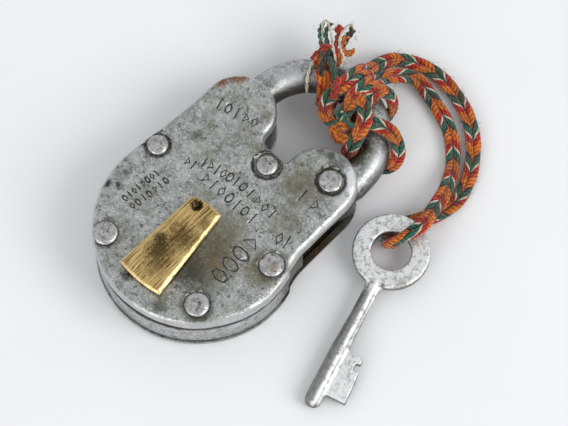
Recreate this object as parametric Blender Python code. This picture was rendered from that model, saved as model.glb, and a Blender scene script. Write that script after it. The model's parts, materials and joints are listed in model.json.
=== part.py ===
"""A small riveted padlock lying on its back, with a loose key on a knotted cord.

Origin: centre of the round body on the back plate's outer face.
+Y towards the shackle, +Z out of the front plate. Sizes are in millimetres.
"""
import math

import bmesh
import bpy
from mathutils import Matrix, Vector

for old in list(bpy.data.objects):
    bpy.data.objects.remove(old)

MM = 0.001

# Clearances.
GAP = 0.3
PIN_PLAY = 0.12
HOLE_PLAY = 0.2

# Case.
BODY_R = 20.0
THICK = 13.0
SHEET = 1.2
FLANK_X = BODY_R - 1.8
FLANK_FILLET = 15.0
HORN_Y = 23.2
HORN_R = 7.4
HORN_X = FLANK_X - HORN_R
HORN_L_R = 7.6
HORN_L_X = HORN_L_R - (BODY_R - 1.3)
LEFT_BULGE = 0.4
FLANK_L = [(1.3, 0.0), (1.25, 3.7), (1.05, 8.0), (0.65, 12.8), (0.15, 17.0)]
NOTCH_Y = HORN_Y - 1.7
NOTCH_FILLET_L = 2.0
NOTCH_FILLET_R = 0.6
FRONT_DEEP = 2.6
BACK_DEEP = 1.9
EDGE_R = 1.3
BAND_INSET = 0.25
BAND_SHEET = 0.9

# Shackle and its hinge.
PIVOT = (HORN_X + 1.6, HORN_Y + 1.4)
PIVOT_R = 1.6
PIVOT_HEAD_R = 2.3
BAR_R = 3.4
BAR_Z = THICK / 2
ARCH = (1.0, 30.6)
ARCH_R = 13.0
EYE_R = 5.2
TOE_Y = 14.9
TOE_ROUND = 1.7

# Rivets: place and whether a pressed ring runs round the head.
RIVET_R = 1.0
HEAD_R = 2.45
LOW_LEFT_R = BODY_R - 2.57
LOW_LEFT_A = math.radians(228.72)
LOW_RIGHT_R = BODY_R - 3.95
LOW_RIGHT_A = math.radians(-44.75)
RIVETS = {
    "rivet_flank_left": (2.85 - BODY_R, 6.9, True),
    "rivet_low_left": (LOW_LEFT_R * math.cos(LOW_LEFT_A), LOW_LEFT_R * math.sin(LOW_LEFT_A), False),
    "rivet_low_right": (LOW_RIGHT_R * math.cos(LOW_RIGHT_A), LOW_RIGHT_R * math.sin(LOW_RIGHT_A), False),
    "rivet_flank_right": (FLANK_X - 2.1, 4.3, False),
    "rivet_top": (1.2, NOTCH_Y - 3.0, True),
}
RINGED_HEAD_R = 2.1
SEAT_R = 2.75
HEAD_SEAT = 0.3

# Key cover and its pin.
COVER = [(-4.3, 3.4), (-4.9, -15.6), (5.3, -15.2), (2.6, 4.4)]
COVER_Z = THICK + 0.85
COVER_THICK = 1.35
COVER_PIN = (-1.0, 2.6)
COVER_PIN_R = 0.9

# Keyhole.
KEY_HOLE = (0.0, -5.5)
KEY_HOLE_R = 2.15
SLOT_W = 2.6
SLOT_LOW = 6.3

# Key.
KEY_BOW = (28.75, 24.75, 3.75)
KEY_TIP = (38.5, -8.6, 1.97)
BOW_R = 7.7
BOW_HOLE_R = 3.9
BOW_THICK = 2.1
SHANK_THIN = 1.45
SHANK_R = 1.95
BIT_THICK = 2.0

# Cord.
CORD_R = 1.3
TIE = (4.0, 42.5)


def mesh_object(name, verts, faces):
    mesh = bpy.data.meshes.new(name)
    mesh.from_pydata([Vector(p) * MM for p in verts], [], faces)
    work = bmesh.new()
    work.from_mesh(mesh)
    bmesh.ops.recalc_face_normals(work, faces=work.faces)
    work.to_mesh(mesh)
    work.free()
    obj = bpy.data.objects.new(name, mesh)
    bpy.context.collection.objects.link(obj)
    return obj


def skin(name, shells, closed=False):
    """Solid through rings of points: capped ends, or closed back on itself."""
    verts = []
    faces = []
    for rings in shells:
        base = len(verts)
        n = len(rings[0])
        for ring in rings:
            verts.extend(ring)
        last = len(rings) if closed else len(rings) - 1
        for i in range(last):
            a = base + i * n
            b = base + ((i + 1) % len(rings)) * n
            for k in range(n):
                m = (k + 1) % n
                faces.append((a + k, a + m, b + m, b + k))
        if not closed:
            faces.append(tuple(base + k for k in reversed(range(n))))
            faces.append(tuple(base + (len(rings) - 1) * n + k for k in range(n)))
    return mesh_object(name, verts, faces)


def arc(cx, cy, r, start, end, steps, whole=False):
    """Points along an arc in degrees; the end point only when whole."""
    count = steps + 1 if whole else steps
    pts = []
    for i in range(count):
        a = math.radians(start + (end - start) * i / steps)
        pts.append((cx + r * math.cos(a), cy + r * math.sin(a)))
    return pts


def line(a, b, steps):
    pts = []
    for i in range(steps):
        t = i / steps
        pts.append((a[0] + (b[0] - a[0]) * t, a[1] + (b[1] - a[1]) * t))
    return pts


def outline(inset):
    """The case's outline, counter-clockwise, as named stretches."""
    reach = BODY_R + FLANK_FILLET
    fillet_x = FLANK_X + FLANK_FILLET
    fillet_y = math.sqrt(reach ** 2 - fillet_x ** 2)
    turn = math.degrees(math.atan2(fillet_y, fillet_x))
    flank = FLANK_X - inset
    horn = HORN_R - inset
    hollow = FLANK_FILLET + inset
    left_y = NOTCH_Y + NOTCH_FILLET_L
    left_dx = math.sqrt((HORN_L_R + NOTCH_FILLET_L) ** 2 - (left_y - HORN_Y) ** 2)
    left_a = math.degrees(math.atan2(left_y - HORN_Y, left_dx))
    left_x = HORN_L_X + left_dx
    right_y = NOTCH_Y + NOTCH_FILLET_R
    right_dx = math.sqrt((HORN_R + NOTCH_FILLET_R) ** 2 - (HORN_Y - right_y) ** 2)
    right_a = math.degrees(math.atan2(HORN_Y - right_y, right_dx))
    right_x = HORN_X - right_dx
    floor = NOTCH_Y - inset
    body = []
    for i in range(78):
        deg = 174 + (360 + turn - 174) * i / 78
        a = math.radians(deg)
        r = BODY_R - inset + LEFT_BULGE * max(0.0, math.cos(math.radians((deg - 174) * 1.8)))
        body.append((r * math.cos(a), r * math.sin(a)))
    return {
        "round": body,
        "hollow_r": arc(fillet_x, fillet_y, hollow, 180 + turn, 180, 5),
        "flank_r": line((flank, fillet_y), (flank, HORN_Y), 4),
        "horn_r": arc(HORN_X, HORN_Y, horn, 0, 180 + right_a, 26),
        "corner_r": arc(right_x, right_y, NOTCH_FILLET_R + inset, right_a, -90, 4),
        "floor": line((right_x, floor), (left_x, floor), 3),
        "corner_l": arc(left_x, left_y, NOTCH_FILLET_L + inset, 270, 180 + left_a, 5),
        "horn_l": arc(HORN_L_X, HORN_Y, HORN_L_R - inset, left_a, 180, 26),
        "flank_l": [(inset + edge - BODY_R, HORN_Y - drop) for edge, drop in FLANK_L],
    }


def whole_outline(inset):
    pts = []
    for stretch in outline(inset).values():
        pts.extend(stretch)
    return pts


def at_height(pts, z):
    return [(x, y, z) for x, y in pts]


def circle(x, y, r, z, n=28):
    return at_height(arc(x, y, r, 0, 360, n), z)


def turned_rings(x, y, profile, n=28):
    return [circle(x, y, r, z, n) for r, z in profile]


def prism(name, pts, z0, z1):
    return skin(name, [[at_height(pts, z0), at_height(pts, z1)]])


def smooth(points, step):
    """Evenly spaced points along a smooth curve through the given ones."""
    pts = [Vector(p) for p in points]
    pts = [2 * pts[0] - pts[1]] + pts + [2 * pts[-1] - pts[-2]]
    fine = []
    for i in range(1, len(pts) - 2):
        a, b, c, d = pts[i - 1:i + 3]
        for k in range(24):
            t = k / 24
            fine.append(0.5 * (2 * b + (c - a) * t + (2 * a - 5 * b + 4 * c - d) * t * t
                               + (3 * b - a - 3 * c + d) * t ** 3))
    fine.append(pts[-2])
    length = sum((q - p).length for p, q in zip(fine, fine[1:]))
    count = max(2, round(length / step))
    even = [fine[0]]
    run = 0.0
    for p, q in zip(fine, fine[1:]):
        part = (q - p).length
        while len(even) < count and run + part >= len(even) * length / count:
            even.append(p.lerp(q, (len(even) * length / count - run) / part))
        run += part
    even.append(fine[-1])
    return even


def tube(name, points, radius, step, ends=1.0):
    """A round cord as a bevelled curve with filled ends."""
    path = smooth(points, step)
    data = bpy.data.curves.new(name, "CURVE")
    data.dimensions = "3D"
    data.bevel_depth = radius * MM
    data.bevel_resolution = 2
    data.use_fill_caps = True
    spline = data.splines.new("POLY")
    spline.points.add(len(path) - 1)
    for point, place in zip(spline.points, path):
        point.co = (place.x * MM, place.y * MM, place.z * MM, 1.0)
        point.radius = 1.0
    spline.points[-1].radius = ends
    obj = bpy.data.objects.new(name, data)
    bpy.context.collection.objects.link(obj)
    return obj


def boolean(obj, other, operation):
    step = obj.modifiers.new(operation.lower(), "BOOLEAN")
    step.object = other
    step.operation = operation
    step.solver = "EXACT"
    other.hide_render = True
    other.display_type = "WIRE"


def set_origin(obj, x, y, z):
    """Put the object's own origin on its joint without moving the shape."""
    place = Vector((x, y, z)) * MM
    if obj.type == "MESH":
        obj.data.transform(Matrix.Translation(-place))
    else:
        for point in obj.data.splines[0].points:
            point.co = (point.co.x - place.x, point.co.y - place.y, point.co.z - place.z, 1.0)
    obj.location = place


def material(name, colour, metallic, roughness):
    mat = bpy.data.materials.new(name)
    mat.use_nodes = True
    shader = mat.node_tree.nodes["Principled BSDF"]
    shader.inputs["Base Color"].default_value = (*colour, 1.0)
    shader.inputs["Metallic"].default_value = metallic
    shader.inputs["Roughness"].default_value = roughness
    return mat


def paint(obj, colour, metallic=0.9, roughness=0.45):
    obj.data.materials.append(material(obj.name + "_finish", colour, metallic, roughness))


STEEL = (0.42, 0.41, 0.38)
STEEL_DARK = (0.2, 0.19, 0.17)
STEEL_LIGHT = (0.56, 0.54, 0.52)
BRASS = (0.62, 0.46, 0.2)
ALLOY = (0.62, 0.62, 0.6)

# Front plate: a pressed cup with a rolled edge, its rim turned down.
rim_z = THICK - FRONT_DEEP
under_z = THICK - SHEET
front_steps = [
    (SHEET + 0.7, under_z), (SHEET + 0.15, under_z - 0.25), (SHEET, under_z - 0.7), (SHEET, rim_z),
    (0.0, rim_z), (0.0, THICK - EDGE_R), (0.1, THICK - 0.8), (0.4, THICK - 0.36),
    (0.85, THICK - 0.1), (1.4, THICK),
]
front = skin("front_plate", [[at_height(whole_outline(i), z) for i, z in front_steps]])
paint(front, STEEL)

# Back plate: the same, shallower, with its edge turned up.
back_steps = [
    (1.4, 0.0), (0.85, 0.1), (0.4, 0.36), (0.1, 0.8), (0.0, EDGE_R), (0.0, BACK_DEEP),
    (SHEET, BACK_DEEP), (SHEET, SHEET + 0.4), (SHEET + 0.2, SHEET + 0.12), (SHEET + 0.7, SHEET),
]
back = skin("back_plate", [[at_height(whole_outline(i), z) for i, z in back_steps]])
paint(back, STEEL)

# Holes and head seats of both plates.
front_cuts = []
back_cuts = []
cut_low = rim_z - 0.4
cut_top = THICK + 1.0
back_top = BACK_DEEP + 0.7
for x, y, ringed in RIVETS.values():
    seat_r = SEAT_R if ringed else HEAD_R + 0.18
    hole = RIVET_R + HOLE_PLAY
    seat = THICK - HEAD_SEAT
    front_cuts.append(turned_rings(x, y, [(hole, cut_low), (hole, seat), (seat_r, seat), (seat_r, cut_top)]))
    back_cuts.append(turned_rings(x, y, [(hole, -1.0), (hole, back_top)]))
pivot_hole = PIVOT_R + HOLE_PLAY
pivot_seat = PIVOT_HEAD_R + 0.7
front_cuts.append(turned_rings(*PIVOT, [(pivot_hole, cut_low), (pivot_hole, THICK - HEAD_SEAT),
                                        (pivot_seat, THICK - HEAD_SEAT), (pivot_seat, cut_top)]))
back_cuts.append(turned_rings(*PIVOT, [(pivot_hole, -1.0), (pivot_hole, back_top)]))
pin_hole = COVER_PIN_R + HOLE_PLAY
front_cuts.append(turned_rings(*COVER_PIN, [(pin_hole, cut_low), (pin_hole, cut_top)]))
back_cuts.append(turned_rings(*KEY_HOLE, [(KEY_HOLE_R, -1.0), (KEY_HOLE_R, back_top)]))
slot_a = math.degrees(math.asin(SLOT_W / 2 / KEY_HOLE_R))
keyhole = arc(*KEY_HOLE, KEY_HOLE_R, slot_a - 90, 270 - slot_a, 28, whole=True)
keyhole.append((-SLOT_W / 2, KEY_HOLE[1] - SLOT_LOW))
keyhole.append((SLOT_W / 2, KEY_HOLE[1] - SLOT_LOW))
front_cuts.append([at_height(keyhole, cut_low), at_height(keyhole, cut_top)])
boolean(front, skin("cut_front", front_cuts), "DIFFERENCE")
boolean(back, skin("cut_back", back_cuts), "DIFFERENCE")

# Rim band: bent strip from the right flank round the bottom to the left horn.
outer = outline(BAND_INSET)
inner = outline(BAND_INSET + BAND_SHEET)
band_z0 = BACK_DEEP + GAP
band_z1 = rim_z - GAP


def strip(stretches, first=0, last=None):
    """Outline of a bent strip along named stretches of the case's edge."""
    out = []
    back_way = []
    for name in stretches:
        out.extend(outer[name])
        back_way.extend(inner[name])
    out = out[first:last]
    back_way = back_way[first:last]
    return out + back_way[::-1]


rim = strip(["flank_l", "round", "hollow_r", "flank_r"], 0, -3)
rim_band = prism("rim_band", rim, band_z0, band_z1)
paint(rim_band, STEEL_LIGHT)

# Notch band: bent strip round the notch between the horns.
notch = strip(["horn_r", "corner_r", "floor", "corner_l", "horn_l"], 18, 46)
notch_band = prism("notch_band", notch, band_z0, band_z1)
paint(notch_band, STEEL)

# Case rivets: domed heads in the front, flush ends in the back.
head_z = THICK - 0.12
head_shape = [(HEAD_R - 0.05, head_z), (HEAD_R, head_z + 0.15), (HEAD_R - 0.3, head_z + 0.42),
              (HEAD_R - 0.95, head_z + 0.62), (HEAD_R - 1.8, head_z + 0.7)]
for name, (x, y, ringed) in RIVETS.items():
    less = RINGED_HEAD_R / HEAD_R if ringed else 1.0
    head = [(r * less, z) for r, z in head_shape]
    rivet = skin(name, [turned_rings(x, y, [(RIVET_R, 0.15), (RIVET_R, head_z)] + head)])
    paint(rivet, STEEL_LIGHT)

# Shackle rivet: the hinge pin of the shackle.
scale = PIVOT_HEAD_R / HEAD_R
pivot_profile = [(PIVOT_R, 0.15), (PIVOT_R, head_z)] + [(r * scale, z) for r, z in head_shape]
pivot_rivet = skin("shackle_rivet", [turned_rings(*PIVOT, pivot_profile)])
paint(pivot_rivet, STEEL_LIGHT)

# Cover pin: riveted through the front plate, its collar carries the cover.
cover_top = COVER_Z + COVER_THICK
pin_top = COVER_Z + 0.6
pin_profile = [
    (1.05, under_z - 0.95), (1.05, under_z - GAP), (COVER_PIN_R, under_z - GAP),
    (COVER_PIN_R, THICK + 0.2), (1.6, THICK + 0.2), (1.6, COVER_Z - 0.2),
    (COVER_PIN_R, COVER_Z - 0.2), (COVER_PIN_R, pin_top - 0.1), (COVER_PIN_R - 0.1, pin_top),
]
cover_pin = skin("cover_pin", [turned_rings(*COVER_PIN, pin_profile)])
paint(cover_pin, STEEL_DARK)


# Key cover: brass leaf, a little wider at the foot, with rounded edges.
def cover_outline(inset):
    middle = (sum(p[0] for p in COVER) / 4, sum(p[1] for p in COVER) / 4)
    pts = []
    for i in range(4):
        a = Vector(COVER[i])
        b = Vector(COVER[(i + 1) % 4])
        along = (b - a).normalized()
        out = Vector((along.y, -along.x))
        bow = 0.55 if i % 2 else 0.0
        for k in range(1, 9):
            t = k / 9
            pts.append(a.lerp(b, t) + out * bow * 4 * t * (1 - t))
        soft = 0.35
        before = b - along * soft
        pts.append(before)
        nxt = (Vector(COVER[(i + 2) % 4]) - b).normalized()
        pts.append(b + nxt * soft)
    shrunk = []
    for p in pts:
        shrunk.append((middle[0] + (p.x - middle[0]) * (1 - inset / 4.4),
                       middle[1] + (p.y - middle[1]) * (1 - inset / 9.6)))
    return shrunk


cover_steps = [(0.35, COVER_Z), (0.0, COVER_Z + 0.2), (0.0, cover_top - 0.5),
               (0.2, cover_top - 0.2), (0.7, cover_top)]
cover = skin("key_cover", [[at_height(cover_outline(i), z) for i, z in cover_steps]])
cover_hole = COVER_PIN_R + PIN_PLAY
cover_cut = skin("cut_cover", [turned_rings(*COVER_PIN, [
    (cover_hole, THICK), (cover_hole, pin_top + 0.15)])])
boolean(cover, cover_cut, "DIFFERENCE")
set_origin(cover, *COVER_PIN, COVER_Z)
paint(cover, BRASS, 1.0, 0.35)


# Shackle: bent round bar, a notched toe in the left horn, an eye in the right.
def bar_ring(centre, along, wide, high, n=28):
    side = Vector((along.y, -along.x, 0))
    ring = []
    for k in range(n):
        a = 2 * math.pi * k / n
        ring.append(centre + side * wide * math.cos(a) + Vector((0, 0, high * math.sin(a))))
    return ring


left_x = ARCH[0] - ARCH_R
right_x = ARCH[0] + ARCH_R
rings = []
for k in range(6):
    a = math.radians(15 * (k + 1))
    short = TOE_ROUND * (1 - math.sin(a))
    thin = TOE_ROUND * (1 - math.cos(a))
    wide = BAR_R - TOE_ROUND * (1 - math.sin(a))
    centre = Vector((left_x, TOE_Y + TOE_ROUND * (1 - math.cos(math.radians(15 * k))) * 0.9, BAR_Z))
    rings.append(bar_ring(centre, Vector((0, 1, 0)), wide, wide))
for y in (18.0, 21.0, 24.5, 28.0):
    rings.append(bar_ring(Vector((left_x, y, BAR_Z)), Vector((0, 1, 0)), BAR_R, BAR_R))
for k in range(33):
    a = math.pi - math.pi * k / 32
    centre = Vector((ARCH[0] + ARCH_R * math.cos(a), ARCH[1] + ARCH_R * math.sin(a), BAR_Z))
    rings.append(bar_ring(centre, Vector((math.sin(a), -math.cos(a), 0)), BAR_R, BAR_R))
for t, wide, high in ((0.35, 1.02, 0.99), (0.7, 1.08, 0.97), (1.0, 1.12, 0.95)):
    drop = ARCH[1] + (PIVOT[1] + 0.4 - ARCH[1]) * t
    across = right_x + (PIVOT[0] + 0.6 - right_x) * t * t
    along = Vector((-0.25 * t, -1, 0)).normalized()
    rings.append(bar_ring(Vector((across, drop, BAR_Z)), along, BAR_R * wide, BAR_R * high))
shackle = skin("shackle", [rings])
eye_half = BAR_R * 0.94
eye_steps = [(EYE_R - 0.5, BAR_Z - eye_half), (EYE_R, BAR_Z - eye_half + 0.5),
             (EYE_R, BAR_Z + eye_half - 0.5), (EYE_R - 0.5, BAR_Z + eye_half)]
eye = skin("join_eye", [turned_rings(*PIVOT, eye_steps, 40)])
eye_hole = PIVOT_R + PIN_PLAY
bore = skin("cut_eye", [turned_rings(*PIVOT, [(eye_hole, 0.0), (eye_hole, THICK)])])
TOE_NOTCH_LOW = 16.8
TOE_NOTCH_HIGH = 20.0
TOE_NOTCH_X = left_x + 1.2
toe_cut = prism("cut_toe", [(TOE_NOTCH_X, TOE_NOTCH_LOW), (left_x + 6, TOE_NOTCH_LOW),
                            (left_x + 6, TOE_NOTCH_HIGH), (TOE_NOTCH_X, TOE_NOTCH_HIGH)],
                BAR_Z - 4.5, BAR_Z + 4.5)
boolean(shackle, eye, "UNION")
boolean(shackle, bore, "DIFFERENCE")
boolean(shackle, toe_cut, "DIFFERENCE")
set_origin(shackle, *PIVOT, BAR_Z)
paint(shackle, STEEL_LIGHT, 0.9, 0.4)

# Bolt: its nose enters the toe's notch, its tail has a talon for the key.
BOLT_Z0 = BAR_Z - 1.5
BOLT_Z1 = BAR_Z + 1.5
BOLT_TRAVEL = 3.6
NOSE_X = -6.8
BODY_LEFT = -4.4
BODY_LOW = 13.5
BODY_TOP = RIVETS["rivet_top"][1] - RIVET_R - GAP
NOSE_LOW = TOE_NOTCH_LOW + 0.3
NOSE_TOP = TOE_NOTCH_HIGH - 0.3
TALON_X = BOLT_TRAVEL / 2
TALON_HALF = 1.9
LUG = 2.5
TAIL_LOW = -0.9
bolt_shape = [
    (BODY_LEFT, BODY_LOW), (TALON_X - TALON_HALF - LUG, BODY_LOW),
    (TALON_X - TALON_HALF - LUG, TAIL_LOW), (TALON_X - TALON_HALF, TAIL_LOW),
    (TALON_X - TALON_HALF, 2.2), (TALON_X + TALON_HALF, 2.2),
    (TALON_X + TALON_HALF, TAIL_LOW), (TALON_X + TALON_HALF + LUG, TAIL_LOW),
    (TALON_X + TALON_HALF + LUG, BODY_LOW), (12.0, BODY_LOW), (12.0, BODY_TOP),
    (-0.5, BODY_TOP), (-0.5, NOSE_TOP), (NOSE_X, NOSE_TOP), (NOSE_X, NOSE_LOW),
    (BODY_LEFT, NOSE_LOW),
]
bolt = prism("bolt", bolt_shape, BOLT_Z0, BOLT_Z1)
set_origin(bolt, TALON_X, BODY_LOW, BOLT_Z0)
paint(bolt, STEEL_DARK)

# Bolt spring: a bowed leaf between the band's wall, a rivet and the bolt.
LEAF = 0.22
leaf_path = smooth([(17.2, -4.9, 0), (15.6, -2.0, 0), (14.3, 1.5, 0), (14.2, 4.5, 0),
                    (13.4, 7.8, 0), (11.6, 11.0, 0), (9.2, BODY_LOW - GAP - LEAF, 0),
                    (7.4, 12.4, 0)], 1.0)
left_edge = []
right_edge = []
for i, p in enumerate(leaf_path):
    ahead = (leaf_path[min(i + 1, len(leaf_path) - 1)] - leaf_path[max(i - 1, 0)]).normalized()
    left_edge.append((p.x - ahead.y * LEAF, p.y + ahead.x * LEAF))
    right_edge.append((p.x + ahead.y * LEAF, p.y - ahead.x * LEAF))
spring = prism("bolt_spring", left_edge + right_edge[::-1], BOLT_Z0 + 0.2, BOLT_Z1 - 0.2)
paint(spring, STEEL)

# Bolt rest: a small bent bridge on the back plate that carries the bolt's tail.
rest_top = BOLT_Z0 - GAP
rest_foot = SHEET + GAP
rest_shape = [(-4.5, rest_foot), (-2.0, rest_foot), (-2.0, rest_top - 1.0), (6.0, rest_top - 1.0),
              (6.0, rest_foot), (8.5, rest_foot), (8.5, rest_foot + 1.0), (7.0, rest_foot + 1.0),
              (7.0, rest_top), (-3.0, rest_top), (-3.0, rest_foot + 1.0), (-4.5, rest_foot + 1.0)]
bolt_rest = skin("bolt_rest", [[[(x, y, z) for x, z in rest_shape] for y in (6.5, 11.5)]])
paint(bolt_rest, STEEL_DARK)

# Ward ring: an open ring round the key's path that fits the notch in its bit.
WARD_R = 4.4
WARD_WALL_R = 6.8
ward_section = [(WARD_R, 8.6), (WARD_WALL_R, 8.6), (WARD_WALL_R, under_z - GAP),
                (WARD_WALL_R - 0.5, under_z - GAP), (WARD_WALL_R - 0.5, 9.4), (WARD_R, 9.4)]
ward_rings = []
for i in range(49):
    a = math.radians(-70 + 320 * i / 48)
    ward_rings.append([(KEY_HOLE[0] + r * math.cos(a), KEY_HOLE[1] + r * math.sin(a), z)
                       for r, z in ward_section])
ward = skin("ward_ring", [ward_rings])
paint(ward, STEEL_DARK)

# Key: round bow, straight shank, notched bit, tilted a little by the cord under it.
bow = Vector(KEY_BOW)
tip = Vector(KEY_TIP)
shank_dir = (tip - bow).normalized()
key_side = Vector((0, 0, 1)).cross(shank_dir).normalized()
key_up = shank_dir.cross(key_side)
key_frame = Matrix((shank_dir, key_side, key_up)).transposed()
KEY_LONG = (tip - bow).length


def key_place(p):
    return bow + key_frame @ Vector(p)


half = BOW_THICK / 2
bow_section = [(BOW_HOLE_R + 0.25, -half), (BOW_R - 0.35, -half), (BOW_R, -half + 0.35),
               (BOW_R, half - 0.35), (BOW_R - 0.35, half), (BOW_HOLE_R + 0.25, half),
               (BOW_HOLE_R, half - 0.25), (BOW_HOLE_R, -half + 0.25)]
bow_rings = []
for i in range(48):
    a = 2 * math.pi * i / 48
    bow_rings.append([key_place((r * math.cos(a), r * math.sin(a), z)) for r, z in bow_section])
key = skin("key", [bow_rings], closed=True)
shank_steps = [(6.0, 0.9), (6.2, SHANK_THIN), (15.0, SHANK_THIN), (19.5, 1.75),
               (21.0, SHANK_R), (KEY_LONG - 1.6, SHANK_R), (KEY_LONG - 0.8, SHANK_R - 0.3),
               (KEY_LONG - 0.25, SHANK_R - 0.85), (KEY_LONG, 0.7)]
shank_rings = []
for x, r in shank_steps:
    ring = []
    for k in range(24):
        a = 2 * math.pi * k / 24
        ring.append(key_place((x, r * math.cos(a), r * math.sin(a))))
    shank_rings.append(ring)
shank = skin("join_shank", [shank_rings])
bit_outline = [(13.1, 0.8), (3.3, 0.8), (3.3, 5.86), (8.2, 5.6), (9.9, 5.45), (10.0, 4.1),
               (11.4, 4.1), (11.5, 5.1), (12.6, 5.0), (13.1, 4.1)]
bit_rings = []
for z in (-BIT_THICK / 2, BIT_THICK / 2):
    bit_rings.append([key_place((KEY_LONG - s, y, z)) for s, y in bit_outline])
bit = skin("join_bit", [bit_rings])
boolean(key, shank, "UNION")
boolean(key, bit, "UNION")
set_origin(key, *TIE, 0)
paint(key, ALLOY, 0.9, 0.35)

# Knot: a lump of cord wrapped round the shackle's bar.
KNOT_FROM = 21.0
KNOT_TO = 114.0
OUT_Z_LOW = 0.35
knot_out = []
knot_in = []
for i in range(37):
    t = i / 36
    deg = KNOT_FROM + (KNOT_TO - KNOT_FROM) * t
    a = math.radians(deg)
    radial = Vector((math.cos(a), math.sin(a), 0))
    ends = min(1.0, math.sin(math.pi * t) ** 0.35) if 0 < t < 1 else 0.0
    lobes = 0.45 * math.sin(4.2 * math.pi * t)
    far = 4.1 + (0.5 + 1.3 * math.exp(-((deg - 58) / 24) ** 2)) * ends
    near = 4.3 + (1.5 - lobes * 0.8) * ends
    high = 4.2 + (2.2 + 0.4 * math.sin(5 * math.pi * t)) * ends
    low = 4.0 + (BAR_Z - OUT_Z_LOW - 4.0) * ends
    mid = Vector((ARCH[0], ARCH[1], BAR_Z)) + radial * ARCH_R
    ring = []
    hole = []
    for k in range(32):
        c = math.cos(2 * math.pi * k / 32)
        s = math.sin(2 * math.pi * k / 32)
        reach = far if c > 0 else near
        rise = high if s > 0 else low
        ring.append(mid + radial * reach * c + Vector((0, 0, rise * s)))
        hole.append(mid + (radial * c + Vector((0, 0, s))) * (BAR_R + 0.32))
    knot_out.append(ring)
    knot_in.append(hole)
knot = skin("knot", [knot_out + knot_in[::-1]], closed=True)
set_origin(knot, *PIVOT, BAR_Z)
paint(knot, (0.55, 0.22, 0.08), 0.0, 0.9)

# Loose yarn ends at the knot.
YARNS = {
    "yarn_end_green": ([(-7.2, 44.2, 11.6), (-9.8, 45.9, 11.3), (-11.8, 47.6, 10.6), (-13.3, 49.0, 10.0)],
                       0.55, (0.05, 0.3, 0.22)),
    "yarn_end_red": ([(-6.4, 46.0, 12.0), (-7.6, 48.3, 11.6), (-9.4, 50.6, 11.0)], 0.7, (0.5, 0.03, 0.03)),
    "yarn_end_black": ([(-4.5, 47.0, 11.4), (-5.7, 49.2, 11.2), (-7.2, 51.2, 11.0)], 0.55, (0.05, 0.05, 0.05)),
    "yarn_end_orange": ([(-2.5, 46.7, 11.4), (-3.2, 48.0, 11.0), (-3.4, 49.6, 10.0)], 0.85, (0.75, 0.3, 0.03)),
    "yarn_loop_cream": ([(-7.2, 42.6, 11.6), (-8.3, 41.2, 11.0), (-8.6, 39.6, 10.6), (-7.7, 37.6, 10.2),
                         (-6.6, 36.6, 8.6), (-5.6, 36.0, 7.0)], 0.3, (0.75, 0.7, 0.55)),
}
for name, (route, radius, colour) in YARNS.items():
    yarn = tube(name, route, radius, 1.2, 0.6)
    set_origin(yarn, *PIVOT, BAR_Z)
    paint(yarn, colour, 0.0, 0.9)

# Cord: one doubled strand from the knot to the key's bow and back.
CORD_ROUTE = [
    (0.0, 48.9, 7.0), (-0.1, 51.4, 5.4), (0.2, 54.0, 3.8), (1.3, 56.3, 2.6), (3.8, 58.3, 1.8),
    (8.0, 59.7, 1.55), (12.4, 59.5, 1.55), (17.0, 58.3, 1.55), (21.0, 56.4, 1.55),
    (24.5, 53.5, 1.55), (27.2, 50.1, 1.55), (29.2, 46.4, 1.55), (30.2, 42.5, 1.55),
    (29.8, 38.6, 1.55), (28.2, 35.0, 1.55), (26.3, 32.0, 1.5), (25.6, 29.6, 1.45),
    (26.0, 27.3, 1.6), (27.0, 26.0, 3.0), (27.7, 25.7, 4.6), (28.5, 26.5, 6.2), (29.3, 28.6, 7.1),
    (29.9, 31.0, 7.2), (29.8, 33.6, 6.6), (29.0, 36.6, 5.4), (28.4, 39.4, 4.6), (27.4, 42.2, 3.6),
    (26.0, 45.2, 2.5), (23.9, 48.2, 1.7), (21.2, 50.9, 1.55), (17.8, 53.1, 1.55),
    (14.2, 54.4, 1.55), (10.8, 55.4, 1.7), (7.8, 55.8, 2.3), (5.6, 54.8, 3.5), (4.1, 52.6, 5.0),
    (3.2, 50.6, 6.2), (2.9, 49.2, 6.9),
]
cord = tube("cord", CORD_ROUTE, CORD_R, 1.55)
set_origin(cord, *TIE, 0)
paint(cord, (0.6, 0.25, 0.1), 0.0, 0.9)

# Built around the lock's origin, so no object needs a parent.
for obj in bpy.data.objects:
    obj.rotation_mode = "XYZ"
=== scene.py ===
import json
import math
import random

import bpy
import numpy as np
from mathutils import Matrix, Vector, noise

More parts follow.
